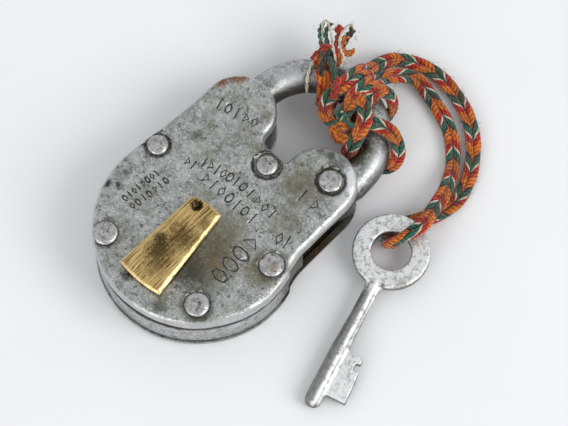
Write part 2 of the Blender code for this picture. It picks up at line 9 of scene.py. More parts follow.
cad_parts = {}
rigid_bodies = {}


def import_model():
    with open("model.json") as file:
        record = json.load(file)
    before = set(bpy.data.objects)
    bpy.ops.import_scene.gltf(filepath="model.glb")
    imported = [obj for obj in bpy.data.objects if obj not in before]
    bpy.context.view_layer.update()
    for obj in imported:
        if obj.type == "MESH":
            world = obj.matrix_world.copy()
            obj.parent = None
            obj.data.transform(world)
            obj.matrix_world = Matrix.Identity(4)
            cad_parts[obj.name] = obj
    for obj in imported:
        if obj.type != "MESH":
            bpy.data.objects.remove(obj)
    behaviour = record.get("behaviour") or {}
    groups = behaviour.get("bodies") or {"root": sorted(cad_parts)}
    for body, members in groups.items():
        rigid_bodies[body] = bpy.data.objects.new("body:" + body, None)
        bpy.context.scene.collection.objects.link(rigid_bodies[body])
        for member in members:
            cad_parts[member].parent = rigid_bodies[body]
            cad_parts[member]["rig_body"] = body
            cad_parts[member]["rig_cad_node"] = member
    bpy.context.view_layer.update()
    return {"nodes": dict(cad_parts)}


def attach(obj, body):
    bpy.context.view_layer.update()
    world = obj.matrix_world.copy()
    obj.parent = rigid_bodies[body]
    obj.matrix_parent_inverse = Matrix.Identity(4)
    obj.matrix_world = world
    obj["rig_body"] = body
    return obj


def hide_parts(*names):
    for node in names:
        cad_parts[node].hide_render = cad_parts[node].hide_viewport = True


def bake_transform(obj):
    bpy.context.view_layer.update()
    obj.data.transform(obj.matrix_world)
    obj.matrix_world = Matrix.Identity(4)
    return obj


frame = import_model()

MM = 0.001

# The back plate: a shallow pressed cup of galvanised steel sheet, 1.2 mm thick, its edge
# turned up. It was stamped out, dipped in zinc and riveted on, so it is pale grey with a
# soft crystalline mottle, dark pits and dirt.


def mm(*sizes):
    """Millimetres as the metres that Blender works in."""
    return tuple(size * MM for size in sizes)


def colour(text):
    """An sRGB hex value as the linear colour that Blender works in."""
    parts = [int(text[i:i + 2], 16) / 255 for i in (1, 3, 5)]
    return [c / 12.92 if c <= 0.04045 else ((c + 0.055) / 1.055) ** 2.4 for c in parts] + [1.0]


def add(mat, kind, inputs=None, stops=None, out=0, **settings):
    """Adds a node with its own settings, its inputs set or linked, and its ramp's stops,
    and gives back one of its outputs."""
    made = mat.node_tree.nodes.new("ShaderNode" + kind)
    for name, value in settings.items():
        setattr(made, name, value)
    if stops:
        elements = made.color_ramp.elements
        elements.remove(elements[1])
        elements[0].position = stops[0][0]
        elements[0].color = colour(stops[0][1])
        for place, shade in stops[1:]:
            elements.new(place).color = colour(shade)
    for name, value in (inputs or {}).items():
        if isinstance(value, bpy.types.NodeSocket):
            mat.node_tree.links.new(value, made.inputs[name])
        else:
            made.inputs[name].default_value = value
    return made.outputs[out]


def new_material(name, **values):
    """A material with its shader's constants set on the shader's own sockets."""
    mat = bpy.data.materials.new(name)
    mat.use_nodes = True
    shader = mat.node_tree.nodes["Principled BSDF"]
    for socket, value in values.items():
        shader.inputs[socket.replace("_", " ")].default_value = value
    return mat


def drive(mat, **patterns):
    """Links patterns to the shader's own sockets."""
    shader = mat.node_tree.nodes["Principled BSDF"]
    for socket, pattern in patterns.items():
        mat.node_tree.links.new(pattern, shader.inputs[socket.replace("_", " ")])


def per_mm(size):
    """Scale of a pattern whose cells are this many millimetres wide."""
    return 1.0 / (size * MM)


def lay(mat, tone, shade, pattern, start=0.0, full=1.0, amount=1.0):
    """Lays a shade over the tone: none of it where the pattern is at start, amount at full."""
    mask = add(mat, "MapRange", {"Value": pattern, "From Min": start, "From Max": full, "To Max": amount})
    return add(mat, "Mix", {0: mask, 6: tone, 7: colour(shade)}, out=2, data_type="RGBA")


def paint_patch(mat, tone, place, inner, outer, shade, amount=1.0, patch=1.2, ring=0.0):
    """Paints a ragged patch round a place on the part, full within inner mm, gone by outer.
    With a ring, it lies along that radius instead."""
    where = add(mat, "TexCoord", out="Object")
    away = add(mat, "VectorMath", {0: where, 1: mm(*place)}, out="Value", operation="DISTANCE")
    if ring:
        away = add(mat, "Math", {0: away, 1: ring * MM}, operation="SUBTRACT")
        away = add(mat, "Math", {0: away}, operation="ABSOLUTE")
    close = add(mat, "MapRange", {"Value": away, "From Min": outer * MM, "From Max": inner * MM})
    ragged = add(mat, "TexNoise", {"Vector": where, "Scale": per_mm(patch), "Detail": 7.0, "Roughness": 0.78})
    both = add(mat, "Math", {0: ragged, 1: 1.9, 2: close}, operation="MULTIPLY_ADD")
    return lay(mat, tone, shade, both, 1.35, 1.9, amount)


# Cell in mm, detail and roughness of the patterns in zinc: crystals, pits, dirt and dents.
MOTTLE = (2.5, 6.0, 0.72)
HOLLOWS = (1.1, 6.0, 0.75)
FILTH = (6.0, 8.0, 0.75)
DENTING = (5.0, 2.0, 0.5)
# Dark lines of painted shade along the gaps between the parts: their fade and wave in mm.
GAP_SHADE_FADE = 0.35
GAP_SHADE_WAVE = 0.6


def zinc_steel(name, dark, middle, light, roughness, grain=0.45, olive=0.0, worn=0.0,
               underside_shade=0.0, gap_shade_lines=(), stains_and_painted_light=()):
    """Zinc-coated steel: a 2.5 mm crystalline mottle under frosty flecks, dark pits, dirt and
    stains, seen as a soft grey metal whose gloss breaks up; worn edges are brighter. Patches of
    painted highlight and painted shade may be laid on, dark lines of painted shade lie along the
    gaps at given heights, and painted shade darkens what faces away from the sky."""
    mat = new_material(name, Metallic=0.85)
    where = add(mat, "TexCoord", out="Object")
    mottle, specks, hollows, filth, dented = [
        add(mat, "TexNoise", {"Vector": where, "Scale": per_mm(cell), "Detail": detail, "Roughness": rough})
        for cell, detail, rough in (MOTTLE, (grain, 4.0, 0.75), HOLLOWS, FILTH, DENTING)]
    tone = add(mat, "ValToRGB", {"Fac": mottle}, stops=[(0.36, dark), (0.5, middle), (0.66, light)])
    tone = lay(mat, tone, "#dadcdc", specks, 0.51, 0.6, 0.75)
    tone = lay(mat, tone, "#56564f", hollows, 0.46, 0.37, 0.9)
    tone = lay(mat, tone, "#6d6a52", filth, 0.48, 0.66, olive)
    # Stains, and patches of painted highlight and painted shade.
    for spot in stains_and_painted_light:
        tone = paint_patch(mat, tone, *spot)
    # Dark lines of painted shade along the gaps, each at a height and a half-width in mm.
    for seam, wide in gap_shade_lines:
        height = add(mat, "SeparateXYZ", {0: where}, out="Z")
        height = add(mat, "Math", {0: hollows, 1: GAP_SHADE_WAVE * MM, 2: height}, operation="MULTIPLY_ADD")
        off = add(mat, "Math", {0: height, 1: (seam + GAP_SHADE_WAVE / 2) * MM}, operation="SUBTRACT")
        off = add(mat, "Math", {0: off}, operation="ABSOLUTE")
        tone = lay(mat, tone, "#2f2d28", off, (wide + GAP_SHADE_FADE) * MM, wide * MM, 0.9)
    rough = add(mat, "MapRange", {"Value": mottle, "From Min": 0.35, "From Max": 0.65,
                                  "To Min": roughness + 0.12, "To Max": roughness - 0.06})
    facing = add(mat, "SeparateXYZ", {0: add(mat, "NewGeometry", out="Normal")}, out="Z")
    # Painted shade: darker wherever the surface faces away from the sky.
    tone = lay(mat, tone, "#4f4d46", facing, 0.72, 0.05, underside_shade)
    if worn:
        rim = add(mat, "MapRange", {"Value": facing, "From Min": 0.985, "From Max": 0.7})
        rubbed = add(mat, "Math", {0: mottle, 1: 1.6, 2: rim}, operation="MULTIPLY_ADD")
        rubbed = add(mat, "MapRange", {"Value": rubbed, "From Min": 1.0, "From Max": 1.8, "To Max": worn})
        tone = lay(mat, tone, "#c6c7c7", rubbed)
        rough = add(mat, "Math", {0: rubbed, 1: -0.12, 2: rough}, operation="MULTIPLY_ADD")
    bump = add(mat, "Bump", {"Height": dented, "Distance": 0.4 * MM, "Strength": 0.6})
    for pattern, deep, strength in ((mottle, 0.12, 0.7), (hollows, 0.06, 0.6), (specks, 0.05, 0.7)):
        bump = add(mat, "Bump", {"Height": pattern, "Distance": deep * MM, "Strength": strength,
                                 "Normal": bump})
    drive(mat, Base_Color=tone, Roughness=rough, Normal=bump)
    return mat


def only(obj):
    """Selects this object alone, in object mode."""
    if bpy.context.object and bpy.context.object.mode != "OBJECT":
        bpy.ops.object.mode_set(mode="OBJECT")
    bpy.ops.object.select_all(action="DESELECT")
    obj.select_set(True)
    bpy.context.view_layer.objects.active = obj


def edit_all(obj):
    """Opens a piece for editing with all of its mesh selected."""
    only(obj)
    bpy.ops.object.mode_set(mode="EDIT")
    bpy.ops.mesh.select_all(action="SELECT")


def copy_of(node, name):
    """A merged copy of a CAD node's mesh to work on."""
    made = frame["nodes"][node].copy()
    made.data = made.data.copy()
    made.data.materials.clear()
    made.name = name
    made.data.name = name
    made.parent = None
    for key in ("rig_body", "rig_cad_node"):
        del made[key]
    bpy.context.scene.collection.objects.link(made)
    edit_all(made)
    bpy.ops.mesh.remove_doubles(threshold=0.000002)
    bpy.ops.mesh.dissolve_limited(angle_limit=math.radians(0.5))
    bpy.ops.object.mode_set(mode="OBJECT")
    return made


def smooth_finish(obj, mat=None, angle=35):
    """Gives a piece its finish and smooth shading up to an angle."""
    only(obj)
    if mat:
        obj.data.materials.clear()
        obj.data.materials.append(mat)
    bpy.ops.object.shade_smooth_by_angle(angle=math.radians(angle))


def belongs(obj, body, *nodes):
    """The piece moves with a body and stands for these CAD nodes."""
    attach(obj, body)
    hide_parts(*nodes)


back_stains = [
    ((18.5, 9.0, 1.5), 5.0, 10.0, "#434130", 0.95, 1.2),
    ((18.3, 20.5, 1.5), 4.0, 9.0, "#45442f", 0.9, 0.9),
    ((17.5, 16.5, 1.5), 1.0, 6.0, "#5d412a", 0.7, 0.7),
]
back_zinc = zinc_steel("galvanised_sheet_back", "#858784", "#a3a5a3", "#bdbfbd", 0.42, olive=0.4,
                       stains_and_painted_light=back_stains)
back_plate = copy_of("back_plate", "case_back")
smooth_finish(back_plate, back_zinc)
belongs(back_plate, "case", "back_plate")

# The lock inside the case: a mild steel bolt, the bent bridge that carries its tail, the
# ward ring, a leaf spring and the cover's pin. Cut from sheet, filed, kept dark by old oil.


def filed_steel(name, dark, light, stroke):
    """Mild steel filed along its length and left oily: dark grey with fine file lines."""
    mat = new_material(name, Metallic=0.9)
    where = add(mat, "TexCoord", out="Object")
    drawn = add(mat, "Mapping", {"Vector": where, "Scale": stroke})
    lines = add(mat, "TexNoise", {"Vector": drawn, "Scale": per_mm(0.6), "Detail": 5.0})
    tone = add(mat, "ValToRGB", {"Fac": lines}, stops=[(0.3, dark), (0.7, light)])
    rough = add(mat, "MapRange", {"Value": lines, "To Min": 0.5, "To Max": 0.32})
    bump = add(mat, "Bump", {"Height": lines, "Distance": 0.03 * MM, "Strength": 0.6})
    drive(mat, Base_Color=tone, Roughness=rough, Normal=bump)
    return mat


ACROSS_X = (0.1, 1.0, 1.0)
ACROSS_Y = (1.0, 0.1, 1.0)
UPRIGHT = (1.0, 1.0, 0.1)
inside = {
    "bolt": filed_steel("filed_mild_steel_bolt", "#4a4844", "#7d7b76", ACROSS_X),
    "bolt_rest": filed_steel("bent_mild_steel_bridge", "#45423c", "#6e6b65", ACROSS_Y),
    "ward_ring": filed_steel("pressed_steel_ward", "#3f3c37", "#67645d", UPRIGHT),
    "bolt_spring": filed_steel("spring_steel_leaf", "#3a3d42", "#6b7078", UPRIGHT),
    "cover_pin": filed_steel("turned_steel_pin", "#5a5852", "#8a8780", UPRIGHT),
}
for node, mat in inside.items():
    frame["nodes"][node].data.materials.clear()
    frame["nodes"][node].data.materials.append(mat)

# The two bands: strips of the same steel bent on edge between the plates, one round the
# body and one round the notch. Drawn strip, so it is smoother than the plates.


def modify(obj, kind, **settings):
    """Adds a modifier with its settings and applies it."""
    only(obj)
    step = obj.modifiers.new(kind.lower(), kind)
    for name, value in settings.items():
        setattr(step, name, value)
    bpy.ops.object.modifier_apply(modifier=step.name)


BAND_R = 19.75
BAND_HIGH = 9.5
# A stain on the band's right side, then painted shade in the notch by the left horn.
band_stains_and_shade = [((18.0, 8.0, 6.0), 3.0, 10.0, "#4a4638", 0.9, 2.0),
               ((-4.5, 24.6, 5.0), 3.0, 7.5, "#36342a", 0.95, 1.2)]
# Painted shade along the band's top where it lies under the front plate's edge, round the bottom.
for turn in range(238, 308, 6):
    gap_shade_spot = (BAND_R * math.cos(math.radians(turn)), BAND_R * math.sin(math.radians(turn)), BAND_HIGH)
    band_stains_and_shade.append((gap_shade_spot, 0.8, 1.9, "#201e17", 0.95, 0.6))
# Dark lines of painted shade lie along the band under the front plate's edge and by the back plate.
band_zinc = zinc_steel("galvanised_steel_strip", "#979997", "#adafad", "#c0c2c0", 0.38, grain=0.6,
                       olive=0.3, gap_shade_lines=((BAND_HIGH, 0.75), (2.2, 0.3)), stains_and_painted_light=band_stains_and_shade)
for node, name in (("rim_band", "band_round"), ("notch_band", "band_notch")):
    band = copy_of(node, name)
    modify(band, "BEVEL", width=0.14 * MM, segments=2, limit_method="ANGLE", angle_limit=math.radians(50))
    smooth_finish(band, band_zinc)
    belongs(band, "case", node)

# The front plate: a deeper pressed cup with a rolled edge that polished itself bright in
# use. Grime sits round the rivets and right of the cover, rust on the left horn, and
# rows of small punched marks are dark at the bottom. The right horn's edge carries painted
# highlights where it turns to the window and painted shade where it turns away, a painted
# shadow lies under the cover's lower edge, and a dark line of painted shade runs along the
# skirt's lower edge.
TOP_Z = 13.0
HINGE = (12.4, 24.6)
SEAT_RING_R = 2.85
RIVETS = {
    "rivet_flank_left": (-17.15, 6.9, 2.1),
    "rivet_low_left": (-11.5, -13.1, 2.45),
    "rivet_low_right": (11.4, -11.3, 2.45),
    "rivet_flank_right": (16.1, 4.3, 2.45),
    "rivet_top": (1.2, 18.5, 2.1),
}

front_stains_highlights_and_shade = [
    ((6.6, -3.5, TOP_Z), 2.5, 11.0, "#5f5a44", 0.8, 1.3),
    ((5.0, -7.5, TOP_Z), 1.5, 7.5, "#44433a", 0.8, 0.8),
    ((6.5, 2.5, TOP_Z), 1.0, 8.0, "#6b5f42", 0.6, 1.0),
    ((3.0, -12.0, TOP_Z), 0.5, 4.5, "#4d4a3e", 0.7, 0.8),
    ((15.5, 2.0, TOP_Z), 2.4, 5.5, "#6d6548", 0.65, 1.0),
    ((13.6, -13.0, TOP_Z), 1.0, 4.0, "#474a3c", 0.85, 0.8),
    ((-18.0, 25.2, TOP_Z - 0.4), 0.6, 3.0, "#7c4318", 0.95, 0.5),
    ((-16.9, 27.2, TOP_Z - 0.6), 0.5, 2.4, "#6f3d18", 0.9, 0.4),
    ((-15.5, 28.4, TOP_Z - 0.4), 0.5, 2.8, "#7f4a1e", 0.9, 0.5),
    ((-18.4, -5.6, TOP_Z - 0.2), 0.3, 1.9, "#343230", 0.95, 0.6),
    ((-16.7, -4.4, TOP_Z), 0.2, 1.6, "#3d3a35", 0.9, 0.6),
    ((-17.5, -1.5, TOP_Z), 0.3, 2.2, "#4c4a44", 0.7, 0.6),
    ((-13.3, 13.4, TOP_Z), 0.3, 2.6, "#4c4d4c", 0.7, 0.7),
    ((9.5, 20.0, TOP_Z), 2.0, 9.0, "#6a6750", 0.7, 1.2),
    ((12.0, 12.0, TOP_Z), 1.0, 7.5, "#6f6c58", 0.55, 1.0),
    ((4.0, 4.0, TOP_Z), 1.0, 6.5, "#75725f", 0.55, 0.9),
    # Painted highlights on the right horn's edge where it turns to the window, then painted shade where it
    # turns away.
    ((16.2, 27.4, 12.8), 1.4, 4.6, "#eff0f0", 0.9, 0.4),
    ((13.6, 28.8, 12.8), 1.0, 3.6, "#eceded", 0.9, 0.35),
    ((10.4, 29.2, 12.8), 0.5, 2.6, "#e4e6e6", 0.85, 0.35),
    ((8.8, 28.6, 12.9), 0.3, 1.7, "#45463f", 0.85, 0.35),
    ((6.6, 27.8, 12.9), 0.2, 1.4, "#4c4d46", 0.8, 0.35),
    # A painted highlight on the right horn's edge.
    ((16.8, 23.0, TOP_Z), 0.5, 3.2, "#dcdedd", 0.7, 0.4),
    ((7.8, -3.0, TOP_Z), -4.0, 7.5, "#85612c", 0.7, 0.35),
    ((3.6, -9.4, TOP_Z), -3.0, 7.0, "#2f2e26", 0.8, 0.4),
    ((0.5, 20.5, TOP_Z), 1.5, 6.0, "#5c5a48", 0.75, 1.0),
    ((6.5, -16.5, TOP_Z), 0.6, 3.0, "#5f6058", 0.85, 0.7),
    ((9.0, -7.0, TOP_Z), -4.0, 7.5, "#3f4133", 0.9, 0.45),
    ((5.5, 0.0, TOP_Z), -4.0, 7.0, "#45442f", 0.85, 0.4),
    ((11.0, 28.6, TOP_Z), 0.8, 4.4, "#4f5148", 0.8, 0.6),
    ((-6.2, 25.8, TOP_Z), 0.4, 3.2, "#6c6147", 0.6, 0.6),
    # A painted shadow under the cover's lower edge.
    ((-2.4, -16.4, TOP_Z), 0.4, 2.2, "#2c2a25", 0.95, 0.6),
]
for spot_x, spot_y, head in RIVETS.values():
    front_stains_highlights_and_shade.append(((spot_x, spot_y, TOP_Z), head, head + 2.2, "#4b493c", 0.75, 0.7))
front_stains_highlights_and_shade.append(((*HINGE, TOP_Z), 2.3, 4.4, "#4b493c", 0.7, 0.7))
for seat in (HINGE, RIVETS["rivet_top"][:2]):
    front_stains_highlights_and_shade.append(((*seat, TOP_Z), 0.2, 0.6, "#35332a", 0.95, 0.5, SEAT_RING_R))
front_zinc = zinc_steel("galvanised_sheet_front", "#8c8d89", "#a8aaa6", "#c5c6c2", 0.4, olive=0.6,
                        gap_shade_lines=((10.5, 0.15),), worn=0.8, stains_and_painted_light=front_stains_highlights_and_shade)

grime = new_material("grime_packed_in_steel", Metallic=0.2, Roughness=0.75)
grime_where = add(grime, "TexCoord", out="Object")
grime_spots = add(grime, "TexNoise", {"Vector": grime_where, "Scale": per_mm(0.8), "Detail": 4.0})
drive(grime, Base_Color=add(grime, "ValToRGB", {"Fac": grime_spots},
                            stops=[(0.38, "#2f2d25"), (0.55, "#55534a"), (0.7, "#8b897f")]))

front_plate = copy_of("front_plate", "case_front")


def grid_cuts(obj, step):
    """Cuts the mesh along lines a step apart both ways, so that its faces can be dented."""
    only(obj)
    for axis in (0, 1):
        places = [v.co[axis] for v in obj.data.vertices]
        place = min(places) + step
        end = max(places)
        normal = (1, 0, 0) if axis == 0 else (0, 1, 0)
        bpy.ops.object.mode_set(mode="EDIT")
        while place < end:
            bpy.ops.mesh.select_all(action="SELECT")
            at = (place, 0, 0) if axis == 0 else (0, place, 0)
            bpy.ops.mesh.bisect(plane_co=at, plane_no=normal, threshold=0.000001)
            place += step
        bpy.ops.object.mode_set(mode="OBJECT")


grid_cuts(front_plate, 1.3 * MM)

# The edge's lower part is bent up by LIFT mm, most at LIFT_TURN degrees round the body.
LIFT = 1.05
LIFT_TURN = 272.0
LIFT_SPAN = 36.0
LIFT_BELOW = 11.0
ROLL_FROM = 10.3
FACE_FROM = 12.2
RECESS = (12.3, 12.85)
DENTS = [(-13.0, -9.0, 3.2, 0.2), (-8.0, -16.5, 2.6, 0.16), (9.0, -5.0, 4.0, 0.12),
         (-14.0, 15.0, 4.0, 0.1), (9.0, 12.0, 4.5, 0.12), (-6.0, 12.0, 3.5, 0.1)]

# Punched marks in plain shapes: rings of 20, 6, 4 or 3 sides, and short bars.
punches = []


def fresh(primitive, stretch=None, **settings):
    """Adds a primitive, stretched along its own axes, and applies its place, turn and size."""
    bpy.ops.object.select_all(action="DESELECT")
    primitive(**settings)
    made = bpy.context.object
    if stretch:
        made.scale = stretch
    bpy.ops.object.transform_apply(location=True, rotation=True, scale=True)
    return made


def punch(sides, x, y, size, turn):
    """One punch's cutter: a thin ring of that many sides, or a bar where sides is 1."""
    place = {"location": mm(x, y, TOP_Z - 0.04), "rotation": (0, 0, turn)}
    if sides == 1:
        cutter = fresh(bpy.ops.mesh.primitive_cube_add, size=1.0, scale=mm(0.3, size * 1.5, 0.42), **place)
    else:
        cutter = fresh(bpy.ops.mesh.primitive_torus_add, (1.0, 1.7, 1.0), major_segments=sides,
                       minor_segments=8, major_radius=size * 0.36 * MM, minor_radius=0.16 * MM, **place)
    cutter.data.materials.append(grime)
    punches.append(cutter)


def punch_row(start, end, size, shapes):
    """A row of punch marks from start to end."""
    first = Vector(start)
    last = Vector(end)
    lean = math.atan2((last - first).y, (last - first).x)
    for i, sides in enumerate(shapes):
        at = first.lerp(last, i / max(1, len(shapes) - 1))
        wobble = 0.12 * noise.noise((at.x, at.y, 3.0))
        punch(sides, at.x + wobble, at.y - wobble, size, lean + wobble)


punch_row((-13.9, -5.3), (-13.2, 2.6), 1.0, (20, 1, 4, 1, 3, 20, 4, 1))
punch_row((-11.7, -5.5), (-10.7, 2.6), 1.05, (4, 20, 1, 20, 3, 1, 20))
punch_row((-8.0, 10.6), (-0.8, 12.0), 1.5, (1, 3, 1, 4, 20, 1))
punch_row((1.0, 12.1), (8.9, 11.9), 1.5, (20, 1, 3, 4, 1))
punch_row((-5.5, 8.4), (6.8, 8.7), 1.7, (3, 1, 4, 20, 1, 6, 1))
punch_row((-14.5, 21.4), (-6.8, 23.3), 1.6, (1, 20, 1, 3, 4))
punch_row((10.4, -4.1), (10.2, 4.8), 2.9, (6, 20, 20, 3))
punch_row((13.4, 9.2), (15.0, 9.6), 2.0, (4, 1))
punch_row((10.5, 18.7), (13.6, 18.9), 1.9, (1, 3))
punch_row((-10.6, 8.5), (-9.2, 8.7), 1.4, (3, 1))

bpy.ops.object.select_all(action="DESELECT")
for cutter in punches:
    cutter.select_set(True)
bpy.context.view_layer.objects.active = punches[0]
bpy.ops.object.join()
punches = bpy.context.object
front_plate.data.materials.append(front_zinc)
modify(front_plate, "BOOLEAN", object=punches, operation="DIFFERENCE", solver="EXACT",
       material_mode="TRANSFER", use_self=True)
bpy.data.objects.remove(punches)
edit_all(front_plate)
bpy.ops.mesh.remove_doubles(threshold=0.00001)
bpy.ops.mesh.dissolve_degenerate(threshold=0.00001)
bpy.ops.object.mode_set(mode="OBJECT")
for v in front_plate.data.vertices:
    x, y, z = v.co / MM
    if z > FACE_FROM:
        sunk = 0.1 * noise.noise((x / 3.5, y / 3.5, 0.0))
        for dent_x, dent_y, wide, deep in DENTS:
            sunk -= deep * math.exp(-((x - dent_x) ** 2 + (y - dent_y) ** 2) / wide ** 2)
        v.co.z = (z + sunk) * MM
    if z > ROLL_FROM:
        v.co.x += noise.noise((x / 2.4, y / 2.4, 5.0)) * 0.09 * MM
        v.co.y += noise.noise((x / 2.4, y / 2.4, 9.0)) * 0.09 * MM
    if z < LIFT_BELOW:
        bent = max(0.0, 1.0 - abs(math.degrees(math.atan2(y, x)) % 360 - LIFT_TURN) / LIFT_SPAN)
        v.co.z += LIFT * math.sin(bent * math.pi / 2) * MM
# The flank rivet at the left sits in a recess that is packed with grime.
seat_x, seat_y, head = RIVETS["rivet_flank_left"]
for polygon in front_plate.data.polygons:
    spot = polygon.center / MM
    sunk_in = RECESS[0] < spot.z < RECESS[1]
    if sunk_in and math.hypot(spot.x - seat_x, spot.y - seat_y) < head + 0.8:
        polygon.material_index = 1
smooth_finish(front_plate)
modify(front_plate, "WEIGHTED_NORMAL", keep_sharp=True)
belongs(front_plate, "case", "front_plate")

# The rivets: soft steel pins, each hammered into a low dome in front and flush behind.
# Plated like the case but handled more, so they are paler, with red-brown specks.


def draw(shift, size, centre):
    """Extrudes what is selected by shift, then scales its far end about centre, in mm."""
    bpy.ops.mesh.extrude_region_move(TRANSFORM_OT_translate={"value": mm(*shift)})
    bpy.ops.transform.resize(value=size, center_override=mm(*centre))


def close_up():
    """Turns all faces of the mesh in hand outward and ends its editing."""
    bpy.ops.mesh.select_all(action="SELECT")
    bpy.ops.mesh.normals_make_consistent(inside=False)
    bpy.ops.object.mode_set(mode="OBJECT")


def headed_pin(name, x, y, steps):
    """A pin drawn up from its foot: each step takes the top face to a radius and height."""
    radius, height = steps[0]
    made = fresh(bpy.ops.mesh.primitive_circle_add, vertices=40, radius=radius * MM, fill_type="NGON",
                 location=mm(x, y, height))
    made.name = name
    edit_all(made)
    for wide, high in steps[1:]:
        draw((0, 0, high - height), (wide / radius, wide / radius, 1.0), (x, y, high))
        radius, height = wide, high
    close_up()
    return made


# A hammered head as shares of its radius and mm of rise.
HEAD = [(0.96, 0.0), (1.0, 0.1), (0.985, 0.22), (0.93, 0.36), (0.84, 0.47), (0.72, 0.56), (0.56, 0.63),
        (0.38, 0.67), (0.2, 0.69), (0.06, 0.7)]
HEAD_Z = 12.88
for node, (x, y, head) in {**RIVETS, "shackle_rivet": (*HINGE, 2.3)}.items():
    shank = 1.6 if node == "shackle_rivet" else 1.0
    steps = [(shank - 0.12, 0.15), (shank, 0.3), (shank, HEAD_Z)]
    steps += [(head * part, HEAD_Z + rise) for part, rise in HEAD]
    rivet = headed_pin(node + "_pin", x, y, steps)
    for v in rivet.data.vertices:
        if v.co.z > (HEAD_Z + 0.05) * MM:
            v.co += Vector((noise.noise(v.co / MM), noise.noise(v.co / MM + Vector((7, 0, 0))),
                            0.6 * noise.noise(v.co / MM * 0.7))) * 0.09 * MM
    specks = [((x + 0.3, y + 0.5, 13.6), 0.0, 0.9, "#5d3d2e", 0.7, 0.3),
              ((x - 0.9, y + 0.2, 13.4), 0.0, 1.1, "#6b6461", 0.7, 0.4),
              ((x + 0.9, y - 0.9, 13.4), 0.0, 0.8, "#65483a", 0.6, 0.3)]
    if node == "rivet_flank_right":
        specks.append(((x + 0.6, y - 0.2, 13.6), 0.2, 1.9, "#8c6a46", 0.6, 0.4))
    rivet_zinc = zinc_steel(node + "_plated_steel", "#9a9897", "#b1aead", "#c6c4c2", 0.3, grain=0.4,
                            stains_and_painted_light=specks)
    smooth_finish(rivet, rivet_zinc, 50)
    belongs(rivet, "case", node)

# The key cover: a leaf of brass sheet on a pin, filed thin and round at its edges, which
# stay bright while its face browns. It has long scratches and one jagged pit.
COVER_CORNERS = [Vector((-4.3, 3.4)), Vector((-4.9, -15.6)), Vector((5.3, -15.2)), Vector((2.6, 4.4))]
COVER_LOW = 13.85
COVER_HIGH = 15.2
END_BOW = 0.55
PIT = (-2.2, 2.6)
COVER_LONG = 19.4
COVER_TOP_WIDE = 7.0

cover = fresh(bpy.ops.mesh.primitive_grid_add, x_subdivisions=38, y_subdivisions=78, size=1.0)
cover.name = "brass_cover"
for v in cover.data.vertices:
    u = v.co.x + 0.5
    w = v.co.y + 0.5
    low = COVER_CORNERS[1].lerp(COVER_CORNERS[2], u) - Vector((0, END_BOW * 4 * u * (1 - u)))
    high = COVER_CORNERS[0].lerp(COVER_CORNERS[3], u) + Vector((-0.1, 1.0)) * END_BOW * 4 * u * (1 - u)
    flat = low.lerp(high, w)
    across = (COVER_CORNERS[2] - COVER_CORNERS[1]).length * (1 - w) + COVER_TOP_WIDE * w
    edge = min(u * across, (1 - u) * across, w * COVER_LONG, (1 - w) * COVER_LONG)
    edge += 0.12 * noise.noise((flat.x / 1.2, flat.y / 1.2, 2.0))
    fall = 0.5 * max(0.0, 1 - max(0.0, edge) / 0.85) ** 2.2
    away = math.hypot((flat.x - PIT[0]) / 0.75, (flat.y - PIT[1]) / 1.15)
    away += 0.5 * noise.noise((flat.x * 2.2, flat.y * 2.2, 0.0))
    pit = 0.55 * max(0.0, 1 - away ** 4) if away < 1 else 0.0
    rise = 0.05 * noise.noise((flat.x / 1.4, flat.y / 3.0, 1.0))
    v.co = Vector((flat.x, flat.y, COVER_HIGH - 0.05 - fall - pit + rise)) * MM
edit_all(cover)
draw((0, 0, -0.8), (1.0, 1.0, 0.0), (0, 0, COVER_LOW))
bpy.ops.transform.resize(value=(0.975, 0.985, 1.0), center_override=mm(0, -5.7, COVER_LOW))
close_up()

brass = new_material("rolled_brass_leaf_brown_with_age", Metallic=1.0)
brass_where = add(brass, "TexCoord", out="Object")
drawn = add(brass, "Mapping", {"Vector": brass_where, "Scale": (1.0, 0.06, 1.0), "Rotation": (0, 0, 0.02)})
strokes = add(brass, "TexNoise", {"Vector": drawn, "Scale": per_mm(0.4), "Detail": 7.0, "Roughness": 0.8})
brass_tone = add(brass, "ValToRGB", {"Fac": strokes},
                 stops=[(0.4, "#5a4428"), (0.455, "#b3925a"), (0.52, "#dcbb7c"), (0.62, "#efd79c")])
for patina in (((0.3, -4.2, COVER_HIGH), 0.8, 6.0, "#5a4728", 0.85, 0.45),
               ((-1.0, -8.8, COVER_HIGH), 1.0, 5.2, "#46371f", 0.9, 0.4),
               ((-2.4, -7.0, COVER_HIGH), 0.5, 2.8, "#453520", 0.9, 0.4),
               ((0.6, -11.5, COVER_HIGH), 0.5, 4.6, "#5d4a2a", 0.7, 0.6),
               ((1.6, 1.0, COVER_HIGH), 0.3, 3.0, "#5f4b2c", 0.7, 0.5)):
    brass_tone = paint_patch(brass, brass_tone, *patina)
facing = add(brass, "SeparateXYZ", {0: add(brass, "NewGeometry", out="Normal")}, out="Z")
brass_tone = lay(brass, brass_tone, "#f0d79b", facing, 0.96, 0.78, 0.8)
brass_tone = paint_patch(brass, brass_tone, (*PIT, COVER_HIGH - 0.4), 1.0, 1.9, "#2c200d", 1.0, 0.5)
brass_rough = add(brass, "MapRange", {"Value": strokes, "From Min": 0.35, "From Max": 0.65,
                                      "To Min": 0.5, "To Max": 0.32})
brass_bump = add(brass, "Bump", {"Height": strokes, "Distance": 0.06 * MM, "Strength": 0.7})
drive(brass, Base_Color=brass_tone, Roughness=brass_rough, Normal=brass_bump)
smooth_finish(cover, brass, 50)
belongs(cover, "key_cover", "key_cover")

